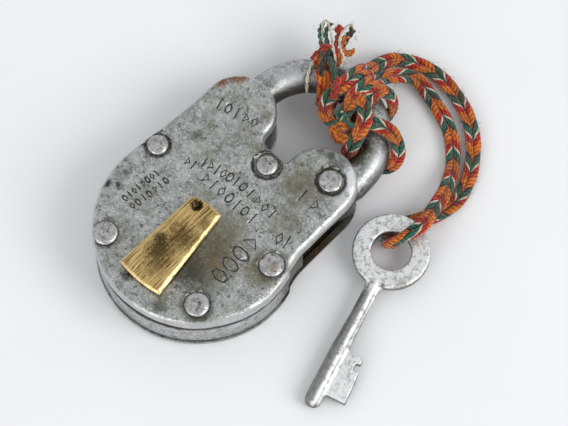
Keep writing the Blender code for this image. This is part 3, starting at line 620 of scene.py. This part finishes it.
# The shackle: a round steel bar bent to an arch, its toe notched for the bolt and its heel
# flattened to an eye on the hinge rivet. Hot-dipped, so dull grey with darker hollows.
BAR_R = 3.4
BAR_Z = 6.5
ARCH = (1.0, 30.6)
ARCH_R = 13.0
EYE_R = 5.2
EYE_THICK = 6.4
PIN_HOLE_R = 1.72

shackle = fresh(bpy.ops.mesh.primitive_circle_add, vertices=40, radius=BAR_R * MM, fill_type="NGON",
                location=mm(ARCH[0] - ARCH_R, ARCH[1], BAR_Z), rotation=(math.pi / 2, 0, 0))
shackle.name = "shackle_bar"
edit_all(shackle)
bpy.ops.mesh.spin(steps=72, angle=math.pi, center=mm(*ARCH, BAR_Z), axis=(0, 0, 1))


def draw_out(x, y, steps):
    """Extrudes the selected end face through steps of place and share of the bar's radius."""
    share = 1.0
    for next_x, next_y, next_share in steps:
        size = next_share / share
        draw((next_x - x, next_y - y, 0), (size, 1.0, size), (next_x, next_y, BAR_Z))
        x, y, share = next_x, next_y, next_share
draw_out(ARCH[0] + ARCH_R, ARCH[1], [(14.0, 28.6, 1.02), (13.5, 26.6, 1.03), (13.0, 25.0, 1.0)])
bpy.ops.object.mode_set(mode="OBJECT")
for polygon in shackle.data.polygons:
    polygon.select = len(polygon.vertices) > 4 and polygon.center.x < 0
for part in (*shackle.data.edges, *shackle.data.vertices):
    part.select = False
for polygon in shackle.data.polygons:
    if polygon.select:
        for i in polygon.vertices:
            shackle.data.vertices[i].select = True
bpy.ops.object.mode_set(mode="EDIT")
bpy.ops.mesh.select_mode(type="FACE")
draw_out(ARCH[0] - ARCH_R, ARCH[1], [
    (-12.0, 27.0, 1.0), (-12.0, 22.0, 1.0), (-12.0, 17.6, 1.0), (-12.0, 16.5, 0.97),
    (-12.0, 15.7, 0.88), (-12.0, 15.2, 0.75), (-12.0, 14.9, 0.55)])
bpy.ops.mesh.select_mode(type="VERT")
close_up()
at_hinge = mm(*HINGE, BAR_Z)
eye = fresh(bpy.ops.mesh.primitive_cylinder_add, vertices=64, radius=EYE_R * MM,
            depth=EYE_THICK * MM, location=at_hinge)
modify(eye, "BEVEL", width=0.6 * MM, segments=3)
bore = fresh(bpy.ops.mesh.primitive_cylinder_add, vertices=48, radius=PIN_HOLE_R * MM,
             depth=20 * MM, location=at_hinge)
toe_cut = fresh(bpy.ops.mesh.primitive_cube_add, size=1.0, location=mm(-7.8, 18.4, BAR_Z),
                scale=mm(6.0, 3.2, 9.0))


def combine(obj, other, operation):
    """Joins or cuts with another solid, which is then removed."""
    modify(obj, "BOOLEAN", object=other, operation=operation, solver="EXACT")
    bpy.data.objects.remove(other)


combine(shackle, eye, "UNION")
combine(shackle, bore, "DIFFERENCE")
combine(shackle, toe_cut, "DIFFERENCE")
bar_stains_and_highlights = [
    ((*ARCH, BAR_Z), 10.0, 14.4, "#565651", 0.8, 0.9),
    ((11.6, 34.0, 9.6), 1.8, 4.8, "#4b5034", 0.95, 0.8),
    # Painted highlights on the bar's outer top.
    ((15.5, 35.0, 9.0), 1.0, 4.6, "#d2d4d4", 0.7, 0.8),
    ((-10.0, 36.0, 9.0), 1.0, 5.5, "#c6c8c8", 0.6, 0.9),
    ((16.5, 22.0, 6.5), 3.0, 6.5, "#54492f", 0.9, 0.8),
    ((-3.0, 42.0, 8.5), 1.5, 6.0, "#4f4e49", 0.7, 0.8),
    ((14.5, 30.0, 9.0), 0.5, 2.0, "#5d5f50", 0.6, 0.8),
    ((-7.5, 39.8, 9.4), 0.5, 1.6, "#4a4b4a", 0.6, 0.8),
]
# Painted shade darkens the bar where it faces down and sideways.
shackle_zinc = zinc_steel("hot_dipped_steel_bar", "#7d7f7e", "#a0a2a1", "#c0c2c2", 0.36, grain=0.5,
                          olive=0.4, underside_shade=0.85, stains_and_painted_light=bar_stains_and_highlights)
smooth_finish(shackle, shackle_zinc, 40)
belongs(shackle, "shackle", "shackle")

# The key: cast zinc alloy, a flat ring bow on a thin shank that swells towards its tip and
# carries a notched bit. Cast and tumbled, so it is bright, soft-edged and finely pitted.
KEY_BOW = Vector((28.75, 24.75, 3.75))
KEY_TIP = Vector((38.5, -8.6, 1.97))
KEY_LONG = (KEY_TIP - KEY_BOW).length
BOW_R = 7.7
BOW_HOLE = 3.9
BOW_THICK = 2.1
BIT_THICK = 2.0
SHANK_STEPS = [(6.4, 1.1), (8.2, 1.25), (12.0, 1.4), (16.0, 1.55), (19.5, 1.7), (21.5, 1.8),
               (KEY_LONG - 1.6, 1.75), (KEY_LONG - 0.8, 1.55), (KEY_LONG - 0.25, 1.1), (KEY_LONG, 0.7)]
NECK_AT = 8.2
NECK_WIDE = 2.3
NECK_THIN = 1.1

key = fresh(bpy.ops.mesh.primitive_cylinder_add, vertices=96, radius=BOW_R * MM, depth=BOW_THICK * MM)
key.name = "cast_key"
hole = fresh(bpy.ops.mesh.primitive_cylinder_add, vertices=64, radius=BOW_HOLE * MM, depth=6 * MM)
combine(key, hole, "DIFFERENCE")
modify(key, "BEVEL", width=0.42 * MM, segments=3, limit_method="ANGLE", angle_limit=math.radians(50))

at = 5.6
thick = 0.7
shank = fresh(bpy.ops.mesh.primitive_circle_add, vertices=32, radius=thick * MM, fill_type="NGON",
              location=mm(at, 0, 0), rotation=(0, math.pi / 2, 0))
edit_all(shank)
for next_at, next_thick in SHANK_STEPS:
    size = next_thick / thick
    draw((next_at - at, 0, 0), (1.0, size, size), (next_at, 0, 0))
    at, thick = next_at, next_thick
close_up()
combine(key, shank, "UNION")
neck = fresh(bpy.ops.mesh.primitive_cone_add, (0.5, 1.0, 1.0), vertices=32, radius1=NECK_WIDE * MM,
             radius2=NECK_THIN * MM, depth=3.2 * MM, location=mm(NECK_AT, 0, 0),
             rotation=(0, math.pi / 2, 0))
combine(key, neck, "UNION")

# The bit's outline as mm back from the tip and mm to the side.
BIT = [(13.1, 0.8), (3.3, 0.8), (3.3, 5.86), (8.2, 5.6), (9.9, 5.45), (10.0, 4.1), (11.4, 4.1),
       (11.5, 5.1), (12.6, 5.0), (13.1, 4.1)]
bit = fresh(bpy.ops.mesh.primitive_circle_add, vertices=len(BIT), radius=MM, fill_type="NGON")
for v, (back, side) in zip(bit.data.vertices, BIT):
    v.co = Vector((KEY_LONG - back, side, -BIT_THICK / 2)) * MM
edit_all(bit)
draw((0, 0, BIT_THICK), (1.0, 1.0, 1.0), (0, 0, 0))
close_up()
combine(key, bit, "UNION")

for side in (1, -1):
    seam = fresh(bpy.ops.mesh.primitive_cube_add, size=1.0, scale=mm(KEY_LONG - 8, 0.7, 0.5),
                 location=mm((KEY_LONG + 4) / 2, side * 1.1, 0.35))
    combine(key, seam, "UNION")

modify(key, "REMESH", mode="VOXEL", voxel_size=0.2 * MM)
modify(key, "SMOOTH", factor=0.5, iterations=3)
for v in key.data.vertices:
    spot = v.co / MM
    pits = noise.fractal(spot * 1.1, 0.8, 2.0, 3)
    v.co += v.normal * MM * (0.025 * pits - 0.1 * max(0.0, noise.noise(spot * 1.9) - 0.42))
along = (KEY_TIP - KEY_BOW).normalized()
aside = Vector((0, 0, 1)).cross(along).normalized()
key_turn = Matrix((along, aside, along.cross(aside))).transposed()
for v in key.data.vertices:
    v.co = key_turn @ v.co + KEY_BOW * MM

alloy = new_material("tumbled_cast_zinc_alloy", Metallic=0.9)
alloy_where = add(alloy, "TexCoord", out="Object")
cloud = add(alloy, "TexNoise", {"Vector": alloy_where, "Scale": per_mm(0.9), "Detail": 8.0,
                                "Roughness": 0.72})
alloy_tone = add(alloy, "ValToRGB", {"Fac": cloud},
                 stops=[(0.34, "#93938f"), (0.43, "#c6c6c3"), (0.52, "#f0f0ee")])
pitting = add(alloy, "TexVoronoi", {"Vector": alloy_where, "Scale": per_mm(0.7)})
pit_mask = add(alloy, "MapRange", {"Value": pitting, "From Min": 0.22, "From Max": 0.05, "To Max": 0.6})
pit_break = add(alloy, "MapRange", {"Value": cloud, "From Min": 0.56, "From Max": 0.42})
pit_mask = add(alloy, "Math", {0: pit_mask, 1: pit_break}, operation="MULTIPLY")
alloy_tone = lay(alloy, alloy_tone, "#4d4c46", pit_mask)
for spot in (((32.5, 18.2, 4.6), 0.3, 1.0, "#6f5240", 0.8, 0.4),
             ((33.3, 6.0, 4.0), 0.1, 0.7, "#8a5a33", 0.7, 0.4),
             ((35.0, 21.0, 5.0), 0.6, 3.0, "#8f8b7d", 0.6, 0.8),
             ((40.3, -3.0, 3.0), 1.5, 6.5, "#fafaf9", 0.5, 0.4)):
    alloy_tone = paint_patch(alloy, alloy_tone, *spot)
# The seam of the mould runs along the shank as a thin dark line. The shank's half away
# from the window light is painted darker as shade, and so is every side that faces sideways.
heading = math.atan2(along.y, along.x)
along_key = add(alloy, "Mapping", {"Vector": alloy_where, "Location": KEY_BOW * MM,
                                   "Rotation": (0, 0, heading)}, vector_type="TEXTURE")
key_x = add(alloy, "SeparateXYZ", {0: along_key}, out="X")
key_y = add(alloy, "SeparateXYZ", {0: along_key}, out="Y")
on_shank = add(alloy, "MapRange", {"Value": key_x, "From Min": 8.5 * MM, "From Max": 10.5 * MM})
from_seam = add(alloy, "Math", {0: key_y, 1: 1.0 * MM}, operation="SUBTRACT")
from_seam = add(alloy, "Math", {0: from_seam}, operation="ABSOLUTE")
for pattern, start, full, amount, shade in ((from_seam, 0.28, 0.1, 0.55, "#5c5c59"),
                                            (key_y, 0.45, -0.1, 0.75, "#757574")):
    mask = add(alloy, "MapRange", {"Value": pattern, "From Min": start * MM, "From Max": full * MM,
                                   "To Max": amount})
    mask = add(alloy, "Math", {0: mask, 1: on_shank}, operation="MULTIPLY")
    alloy_tone = lay(alloy, alloy_tone, shade, mask)
# Painted shade on the sides, where they face sideways.
upward = add(alloy, "SeparateXYZ", {0: add(alloy, "NewGeometry", out="Normal")}, out="Z")
alloy_tone = lay(alloy, alloy_tone, "#5a5a56", upward, 0.6, 0.1, 0.75)
alloy_rough = add(alloy, "MapRange", {"Value": cloud, "From Min": 0.3, "From Max": 0.7,
                                      "To Min": 0.56, "To Max": 0.42})
alloy_bump = add(alloy, "Bump", {"Height": cloud, "Distance": 0.08 * MM, "Strength": 0.6})
drive(alloy, Base_Color=alloy_tone, Roughness=alloy_rough, Normal=alloy_bump)
smooth_finish(key, alloy, 60)
belongs(key, "key", "key")

# The cord: a flat braid 3.4 mm wide of dyed cotton yarns, orange, red, cream, green and
# black, hand-plaited so that they meet in chevrons, matt and hairy. It runs in two
# strands from the knot on the shackle to the key's ring.
YARN_R = 0.34
PITCH = 7.0
LOBE = 0.76
LOBE_HIGH = 0.6
STEP = 0.4
LEAN = 0.12
SKY = np.array([0.0, 0.0, 1.0])


def dyed_cotton(name, dark, light, dirt=0.62):
    """Dyed cotton yarn, loosely twisted from three plies 0.4 mm wide: matt, with dark
    lines between the plies and paler worn fibres; drawn a little coarse, so it shows."""
    mat = new_material(name, Roughness=0.95, Sheen_Weight=0.35, Sheen_Roughness=0.5, Specular_IOR_Level=0.2)
    uv = add(mat, "UVMap", uv_map="yarn")
    round_yarn = add(mat, "SeparateXYZ", {0: uv}, out="X")
    along_yarn = add(mat, "SeparateXYZ", {0: uv}, out="Y")
    turns = add(mat, "Math", {0: round_yarn, 1: 3.0, 2: along_yarn}, operation="MULTIPLY_ADD")
    wave = add(mat, "Math", {0: turns, 1: math.tau}, operation="MULTIPLY")
    ply = add(mat, "Math", {0: wave}, operation="SINE")
    where = add(mat, "TexCoord", out="Object")
    fibres = add(mat, "TexNoise", {"Vector": where, "Scale": per_mm(0.5), "Detail": 5.0, "Roughness": 0.8})
    worn = add(mat, "Math", {0: ply, 1: 0.16, 2: fibres}, operation="MULTIPLY_ADD")
    tone = add(mat, "ValToRGB", {"Fac": worn}, stops=[(0.34, dark), (0.68, light)])
    soil = add(mat, "TexNoise", {"Vector": where, "Scale": per_mm(4.5), "Detail": 5.0, "Roughness": 0.7})
    tone = lay(mat, tone, "#4f3216", soil, 0.42, 0.68, dirt)
    bump = add(mat, "Bump", {"Height": worn, "Distance": 0.25 * MM, "Strength": 0.8})
    drive(mat, Base_Color=tone, Normal=bump)
    return mat
YARN_SHADES = {
    "orange": dyed_cotton("dyed_cotton_orange", "#8a3a06", "#f08322"),
    "red": dyed_cotton("dyed_cotton_red", "#6a120c", "#d42a1a"),
    "cream": dyed_cotton("undyed_cotton_cream", "#b8aa8c", "#f0e6d0", 0.25),
    "green": dyed_cotton("dyed_cotton_green", "#0a3a30", "#237a63"),
    "black": dyed_cotton("dyed_cotton_black", "#161514", "#3d3936"),
}
SHADE_ORDER = list(YARN_SHADES)
# One lobe of the braid in order along the cord: its yarns and their thickness.
LOBE_YARNS = [("orange", 1.05), ("orange", 1.15), ("orange", 1.05), ("red", 1.05), ("red", 0.95),
              ("cream", 0.62), ("green", 0.85), ("green", 0.7), ("black", 0.75)]


def run_along(path):
    """How far each point lies along a path."""
    return np.concatenate([[0.0], np.cumsum(np.linalg.norm(np.diff(path, axis=0), axis=1))])


def smooth_path(points, step):
    """Evenly spaced points along a smooth curve through the given ones."""
    pts = [Vector(p) for p in points]
    pts = [2 * pts[0] - pts[1]] + pts + [2 * pts[-1] - pts[-2]]
    fine = []
    for i in range(1, len(pts) - 2):
        a, b, c, d = pts[i - 1:i + 3]
        for k in range(30):
            t = k / 30
            fine.append(0.5 * (2 * b + (c - a) * t + (2 * a - 5 * b + 4 * c - d) * t * t
                               + (3 * b - a - 3 * c + d) * t ** 3))
    fine.append(pts[-2])
    fine = np.array(fine)
    run = run_along(fine)
    even = np.linspace(0.0, run[-1], max(3, round(run[-1] / step) + 1))
    return np.stack([np.interp(even, run, fine[:, i]) for i in range(3)], axis=1), even


def directions(path):
    """Along, side and up at each point: up turns as little as it can and leans to the sky."""
    along = np.gradient(path, axis=0)
    along /= np.linalg.norm(along, axis=1)[:, None]
    up = SKY
    ups = []
    for t in along:
        up = up + LEAN * SKY
        up = up - t * (up @ t)
        up = up / max(1e-9, np.linalg.norm(up))
        ups.append(up)
    return along, np.cross(along, ups), np.array(ups)


class Fabric:
    """Gathers yarns into one mesh with a UV map that runs round and along each yarn."""

    def __init__(self):
        self.verts = []
        self.faces = []
        self.uvs = []
        self.slots = []
        self.count = 0

    def yarn(self, path, radius, shade, sides=8, taper=0.0):
        """One yarn: a tube along its path, closed at both ends, thinner at the end by taper."""
        _, side, up = directions(path)
        run = run_along(path)
        turn = np.arange(sides) * math.tau / sides
        thick = radius * (1 - taper * np.linspace(0, 1, len(path)) ** 3)
        ring = side[:, None, :] * np.cos(turn)[None, :, None] + up[:, None, :] * np.sin(turn)[None, :, None]
        points = path[:, None, :] + ring * thick[:, None, None]
        base = self.count
        self.verts.extend(points.reshape(-1, 3).tolist())
        for i in range(len(path) - 1):
            for k in range(sides):
                m = (k + 1) % sides
                a = base + i * sides
                b = a + sides
                self.faces.append((a + k, a + m, b + m, b + k))
                u0 = k / sides
                u1 = (k + 1) / sides
                self.uvs.extend([(u0, run[i]), (u1, run[i]), (u1, run[i + 1]), (u0, run[i + 1])])
        for i, order in ((0, -1), (len(path) - 1, 1)):
            self.faces.append(tuple(base + i * sides + k for k in range(sides))[::order])
            self.uvs.extend([(0.0, run[i])] * sides)
        self.slots.extend([SHADE_ORDER.index(shade)] * (len(self.faces) - len(self.slots)))
        self.count += len(path) * sides

    def braid(self, route, start=0.0):
        """The flat braid along a route: two mirrored twists of nine yarns side by side."""
        path, run = smooth_path(route, STEP)
        _, side, up = directions(path)
        for lobe in (-1, 1):
            for i, (shade, size) in enumerate(LOBE_YARNS):
                theta = math.tau * ((run + start) / PITCH + i / len(LOBE_YARNS))
                theta = theta - 0.32 * np.sin(2 * theta)
                across = lobe * (LOBE + (LOBE - 0.3) * np.cos(theta))
                rise = LOBE_HIGH * np.sin(theta)
                middle = path + side * across[:, None] + up * rise[:, None]
                self.yarn(middle, YARN_R * size, shade, 7)

    def twist(self, route, radius, shades, taper=0.0):
        """A loose twist of plies, one for each shade given."""
        path, run = smooth_path(route, STEP)
        _, side, up = directions(path)
        for i, shade in enumerate(shades):
            theta = math.tau * (run / 3.2 + i / len(shades))
            reach = radius * 0.5
            middle = path + side * (reach * np.cos(theta))[:, None] + up * (reach * np.sin(theta))[:, None]
            self.yarn(middle, radius * 0.62, shade, 8, taper)

    def fuzz(self, route, number, reach, seed, shades=("orange", "red", "cream")):
        """Short loose fibres standing out of the yarns."""
        dice = random.Random(seed)
        path, run = smooth_path(route, STEP)
        along, side, up = directions(path)
        for _ in range(number):
            i = dice.randrange(len(path))
            angle = dice.uniform(0, math.tau)
            out = side[i] * math.cos(angle) * 1.45 + up[i] * math.sin(angle)
            first = path[i] + out * 0.85
            lean = along[i] * dice.uniform(-1.2, 1.2) + np.array([dice.uniform(-0.3, 0.3) for _ in range(3)])
            length = reach * dice.uniform(0.4, 1.0)
            second = first + (out * 0.7 + lean * 0.5) * length * 0.5
            third = second + (out * 0.3 + lean) * length * 0.4
            hair = np.array([first, second, third])
            if min(hair[:, 2]) > 0.15:
                self.yarn(hair, 0.035, dice.choice(shades), 3)

    def make(self, name):
        """The finished mesh as a piece, with its yarns' colours in their slots."""
        mesh = bpy.data.meshes.new(name)
        mesh.from_pydata([Vector(p) * MM for p in self.verts], [], self.faces)
        layer = mesh.uv_layers.new(name="yarn")
        layer.data.foreach_set("uv", np.array(self.uvs, np.float32).ravel())
        for shade in SHADE_ORDER:
            mesh.materials.append(YARN_SHADES[shade])
        mesh.polygons.foreach_set("material_index", self.slots)
        mesh.polygons.foreach_set("use_smooth", [True] * len(self.faces))
        mesh.update()
        made = bpy.data.objects.new(name, mesh)
        bpy.context.scene.collection.objects.link(made)
        edit_all(made)
        close_up()
        return made


CORD_ROUTE = [
    (0.0, 48.9, 7.0), (-0.1, 51.4, 5.4), (0.2, 54.0, 3.8), (1.3, 56.3, 2.6), (3.8, 58.3, 1.8),
    (8.0, 59.7, 1.55), (12.4, 59.5, 1.55), (17.0, 58.3, 1.55), (21.0, 56.4, 1.55),
    (24.5, 53.5, 1.55), (27.2, 50.1, 1.55), (29.2, 46.4, 1.55), (30.2, 42.5, 1.55),
    (29.8, 38.6, 1.55), (28.2, 35.0, 1.55), (26.3, 32.0, 1.5), (25.6, 29.6, 1.45),
    (26.0, 27.3, 1.6), (27.0, 26.0, 3.0), (27.7, 25.7, 4.6), (28.5, 26.5, 6.2), (29.3, 28.6, 7.1),
    (29.9, 31.0, 7.2), (29.8, 33.6, 6.6), (29.0, 36.6, 5.4), (28.4, 39.4, 4.6), (27.4, 42.2, 3.6),
    (26.0, 45.2, 2.5), (23.9, 48.2, 1.7), (21.2, 50.9, 1.55), (17.8, 53.1, 1.55),
    (14.2, 54.4, 1.55), (10.8, 55.4, 1.7), (7.8, 55.8, 2.3), (5.6, 54.8, 3.5), (4.1, 52.6, 5.0),
    (3.2, 50.6, 6.2), (2.9, 49.2, 6.9),
]
cord_line, cord_run = smooth_path(CORD_ROUTE, 1.0)
weave = Fabric()
weave.braid(CORD_ROUTE)
weave.fuzz(CORD_ROUTE, 500, 1.6, 11)
cord = weave.make("braided_cord")
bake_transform(cord)
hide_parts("cord")

# The knot: the same cord wound round the shackle's bar in two loose turns and tied over
# itself in a lump, with a bundle of its yarns wrapped beside it.


def on_bar(places):
    """Points given by angle along the arch, and mm outward and up from the bar's middle."""
    found = []
    for degrees, outward, rise in places:
        a = math.radians(degrees)
        reach = ARCH_R + outward
        found.append((ARCH[0] + reach * math.cos(a), ARCH[1] + reach * math.sin(a), BAR_Z + rise))
    return found


UPPER_TURN = on_bar([
    (60, -3.6, 3.2), (66, -1.4, 4.9), (71, 0.6, 5.2), (73, 2.6, 4.6), (71, 4.3, 3.2), (68, 5.0, 1.4),
    (65, 4.8, -0.8), (63, 3.4, -3.2), (62, 1.0, -4.6), (62, -1.6, -4.3), (62, -3.9, -2.6),
    (61, -4.8, 0.0), (60, -4.2, 2.2)
])
LOWER_TURN = on_bar([
    (50, -2.2, 5.0), (46, -0.6, 5.2), (43, 1.2, 5.1), (40, 2.9, 4.5), (36, 4.2, 3.1), (32, 4.9, 1.2),
    (28, 4.8, -0.8), (25, 3.7, -3.0), (25, 1.4, -4.5), (27, -1.2, -4.5), (31, -3.6, -3.0),
    (35, -4.7, -0.6), (39, -4.6, 2.0), (43, -3.4, 4.2)
])
LEFT_TURN = on_bar([
    (121, 0.4, 5.0), (122, 2.4, 4.4), (121, 4.0, 2.8), (119, 4.7, 0.4), (117, 4.0, -2.4),
    (115, 1.6, -4.4), (113, -1.4, -4.5), (111, -3.9, -2.8), (109, -4.8, -0.2), (109, -4.4, 2.4),
    (113, -2.8, 4.2), (119, -0.8, 5.0)
])
MAIN_INNER = [
    (2.9, 49.2, 6.9), (3.0, 47.6, 8.9), (3.1, 45.6, 11.2), (3.2, 43.2, 12.6), (3.4, 41.0, 13.0),
    (4.0, 39.2, 13.0), (4.2, 37.4, 12.2), (4.6, 35.8, 10.6)
]
MAIN_OUTER = [
    (0.0, 48.9, 7.0), (-0.2, 47.2, 9.4), (-0.2, 45.0, 11.4), (0.1, 43.0, 12.3), (0.1, 40.9, 12.8),
    (-0.2, 38.8, 12.2), (-0.3, 37.0, 11.0), (0.7, 35.5, 10.3), (2.4, 34.8, 10.4), (3.8, 35.4, 11.2),
    (4.6, 37.0, 12.4)
]
CENTRE = [
    (2.4, 40.4, 11.6), (4.4, 40.8, 13.0), (6.6, 40.2, 13.2), (8.1, 38.9, 13.0), (8.9, 37.0, 12.5),
    (9.4, 35.2, 11.4), (9.5, 33.8, 9.8), (9.3, 33.0, 7.6), (9.6, 33.2, 5.0)
]
lump = Fabric()
for number, turn in enumerate((UPPER_TURN, LOWER_TURN, MAIN_INNER, MAIN_OUTER, CENTRE)):
    lump.braid(turn, start=1.3 * number)
    lump.fuzz(turn, 60, 1.6, 20 + number)
for shift_x, shift_y, radius, shades in ((0.0, 0.0, 0.95, ("orange", "orange", "orange")),
                                         (-1.0, -0.7, 0.9, ("orange", "red", "orange")),
                                         (1.2, 0.5, 0.8, ("orange", "red", "red"))):
    lump.twist([(x + shift_x, y + shift_y, z) for x, y, z in LEFT_TURN], radius, shades)
for route, radius, shade, plies in (
        ([(6.5, 35.6, 12.0), (4.9, 35.2, 11.0), (4.8, 33.9, 10.0), (6.6, 33.4, 9.8), (8.0, 34.4, 10.6)],
         1.25, "orange", 3),
        ([(5.0, 36.8, 13.2), (5.6, 35.9, 13.4), (7.0, 35.8, 13.2), (7.9, 36.4, 12.8)], 0.5, "green", 2),
        ([(-6.2, 43.8, 12.2), (-4.8, 42.9, 12.9), (-3.2, 42.0, 12.8), (-1.8, 41.0, 12.0)], 0.65, "green", 2),
        ([(-6.9, 45.1, 12.6), (-6.7, 43.0, 12.8), (-5.3, 40.7, 12.6), (-4.6, 39.9, 12.0)], 0.6, "black", 2),
        ([(-1.8, 41.6, 12.6), (-0.9, 40.4, 13.6), (0.3, 38.9, 13.6), (0.9, 37.6, 12.9)], 0.6, "red", 2)):
    lump.twist(route, radius, [shade] * plies)
lump.fuzz(LEFT_TURN, 60, 1.6, 30)
knot = lump.make("tied_knot")
belongs(knot, "shackle", "knot")

# The loose ends: the yarns' cut ends and thin cream threads in loops, standing out of the
# knot as they came untwisted, matt and hairy like the cord.
# Each strand: its route, radius, colour and number of plies.
ENDS = {
    "yarn_end_green": [
        ([(-2.6, 42.3, 11.8), (-5.6, 43.2, 12.4), (-7.5, 43.4, 12.2), (-10.0, 45.5, 11.6),
          (-12.0, 47.3, 11.0), (-12.7, 49.1, 10.4)], 0.5, "green", 2),
        ([(-6.2, 44.4, 12.2), (-8.8, 46.0, 12.0), (-10.5, 47.4, 11.6), (-11.4, 49.4, 11.0),
          (-11.2, 50.1, 10.6)], 0.5, "green", 2),
    ],
    "yarn_end_red": [
        ([(-3.7, 43.4, 12.4), (-6.4, 46.0, 12.6), (-7.9, 47.9, 12.4), (-9.0, 49.9, 11.8)], 0.5, "red", 2),
        ([(-8.6, 49.2, 12.0), (-8.9, 49.7, 11.9), (-9.2, 50.3, 11.6)], 0.95, "red", 3),
        ([(-8.8, 41.6, 10.8), (-8.7, 43.0, 11.6), (-8.0, 44.7, 12.6), (-7.0, 45.0, 12.2)], 0.5, "red", 2),
        ([(-8.2, 44.2, 12.4), (-7.8, 44.8, 12.7), (-7.3, 45.1, 12.4)], 0.95, "red", 3),
    ],
    "yarn_end_black": [
        ([(-7.1, 51.7, 11.4), (-6.4, 49.4, 11.8), (-5.2, 46.3, 12.2), (-4.2, 44.4, 12.0)], 0.45, "black", 2),
        ([(-7.3, 51.9, 11.3), (-7.0, 51.0, 11.5), (-6.7, 50.0, 11.7)], 0.75, "black", 2),
    ],
    "yarn_end_orange": [
        ([(-3.7, 43.8, 11.8), (-5.2, 46.3, 12.2), (-6.8, 48.9, 12.0), (-6.4, 49.8, 11.6)], 0.7, "orange", 2),
        ([(-3.8, 44.5, 12.4), (-5.2, 46.5, 12.4), (-4.1, 46.9, 11.8), (-4.0, 48.7, 11.2)], 0.7, "orange", 2),
    ],
    "yarn_loop_cream": [
        ([(-6.5, 43.3, 12.0), (-7.2, 42.3, 11.8), (-8.1, 41.1, 11.0), (-7.0, 38.6, 10.4),
          (-5.9, 37.2, 9.4), (-5.2, 36.5, 8.4)], 0.36, "cream", 2),
        ([(-3.8, 43.5, 12.6), (-5.8, 44.9, 13.0), (-8.5, 47.0, 13.0), (-11.6, 49.2, 12.4),
          (-12.4, 48.7, 11.9), (-11.4, 47.4, 11.6), (-9.5, 45.4, 11.9)], 0.26, "cream", 2),
        ([(-3.0, 43.8, 12.6), (-3.8, 45.5, 12.9), (-5.6, 46.5, 13.0), (-7.3, 48.1, 13.0),
          (-8.3, 51.0, 12.2), (-7.9, 52.2, 11.8), (-6.9, 51.7, 11.6)], 0.26, "cream", 2),
    ],
}
ends = []
for node, strands in ENDS.items():
    loose = Fabric()
    for route, radius, shade, plies in strands:
        loose.twist(route, radius, [shade] * plies, 0.3)
        loose.fuzz(route, 12, 1.2, 40 + len(ends))
    end = loose.make(node + "_twisted")
    belongs(end, "shackle", node)
    ends.append(end)

# The bench it was photographed on, soft window light from the right, and the camera.
floor = fresh(bpy.ops.mesh.primitive_plane_add, size=3.0, location=(0, 0, 0))
floor.name = "bench"
paint = new_material("white_bench_paint", Roughness=0.7, Specular_IOR_Level=0.2)
paint_where = add(paint, "TexCoord", out="Object")
paint_fog = add(paint, "TexNoise", {"Vector": paint_where, "Scale": per_mm(60.0), "Detail": 2.0})
drive(paint, Base_Color=add(paint, "ValToRGB", {"Fac": paint_fog},
                            stops=[(0.3, "#e9e9e9"), (0.7, "#ededed")]))
floor.data.materials.append(paint)

world = bpy.data.worlds.new("room")
bpy.context.scene.world = world
world.use_nodes = True
world.node_tree.nodes["Background"].inputs["Color"].default_value = colour("#e8ebee")
world.node_tree.nodes["Background"].inputs["Strength"].default_value = 0.85

LOCK_MIDDLE = (7, 17, 5)
LAMP_AWAY = 1.2
VIEW_TARGET = (6.948, 17.243, 0.0)
VIEW_AZIMUTH = 43.743
VIEW_ELEVATION = 68.768
VIEW_AWAY = 0.5


def aimed(data, target, azimuth, elevation, distance):
    """Stands a lamp or camera that way and far from a target in mm, looking at it."""
    holder = bpy.data.objects.new(data.name, data)
    bpy.context.scene.collection.objects.link(holder)
    a = math.radians(azimuth)
    e = math.radians(elevation)
    back = Vector((math.sin(a) * math.cos(e), -math.cos(a) * math.cos(e), math.sin(e)))
    holder.location = Vector(target) * MM + back * distance
    holder.rotation_mode = "QUATERNION"
    holder.rotation_quaternion = (-back).to_track_quat("-Z", "Y")
    return holder


def lamp(name, azimuth, elevation, size, power):
    """A square soft light aimed at the middle of the lock."""
    light = bpy.data.lights.new(name, "AREA")
    light.shape = "SQUARE"
    light.size = size
    light.energy = power
    aimed(light, LOCK_MIDDLE, azimuth, elevation, LAMP_AWAY)


lamp("window", 105.0, 40.0, 0.7, 7.0)
lamp("bounce", 10.0, 28.0, 0.5, 3.0)

camera = bpy.data.cameras.new("camera")
camera.sensor_width = 36.0
camera.lens = 160.08
camera.clip_start = 0.01
camera.clip_end = 10.0
bpy.context.scene.camera = aimed(camera, VIEW_TARGET, VIEW_AZIMUTH, VIEW_ELEVATION, VIEW_AWAY)
bpy.context.scene.view_settings.view_transform = "Standard"
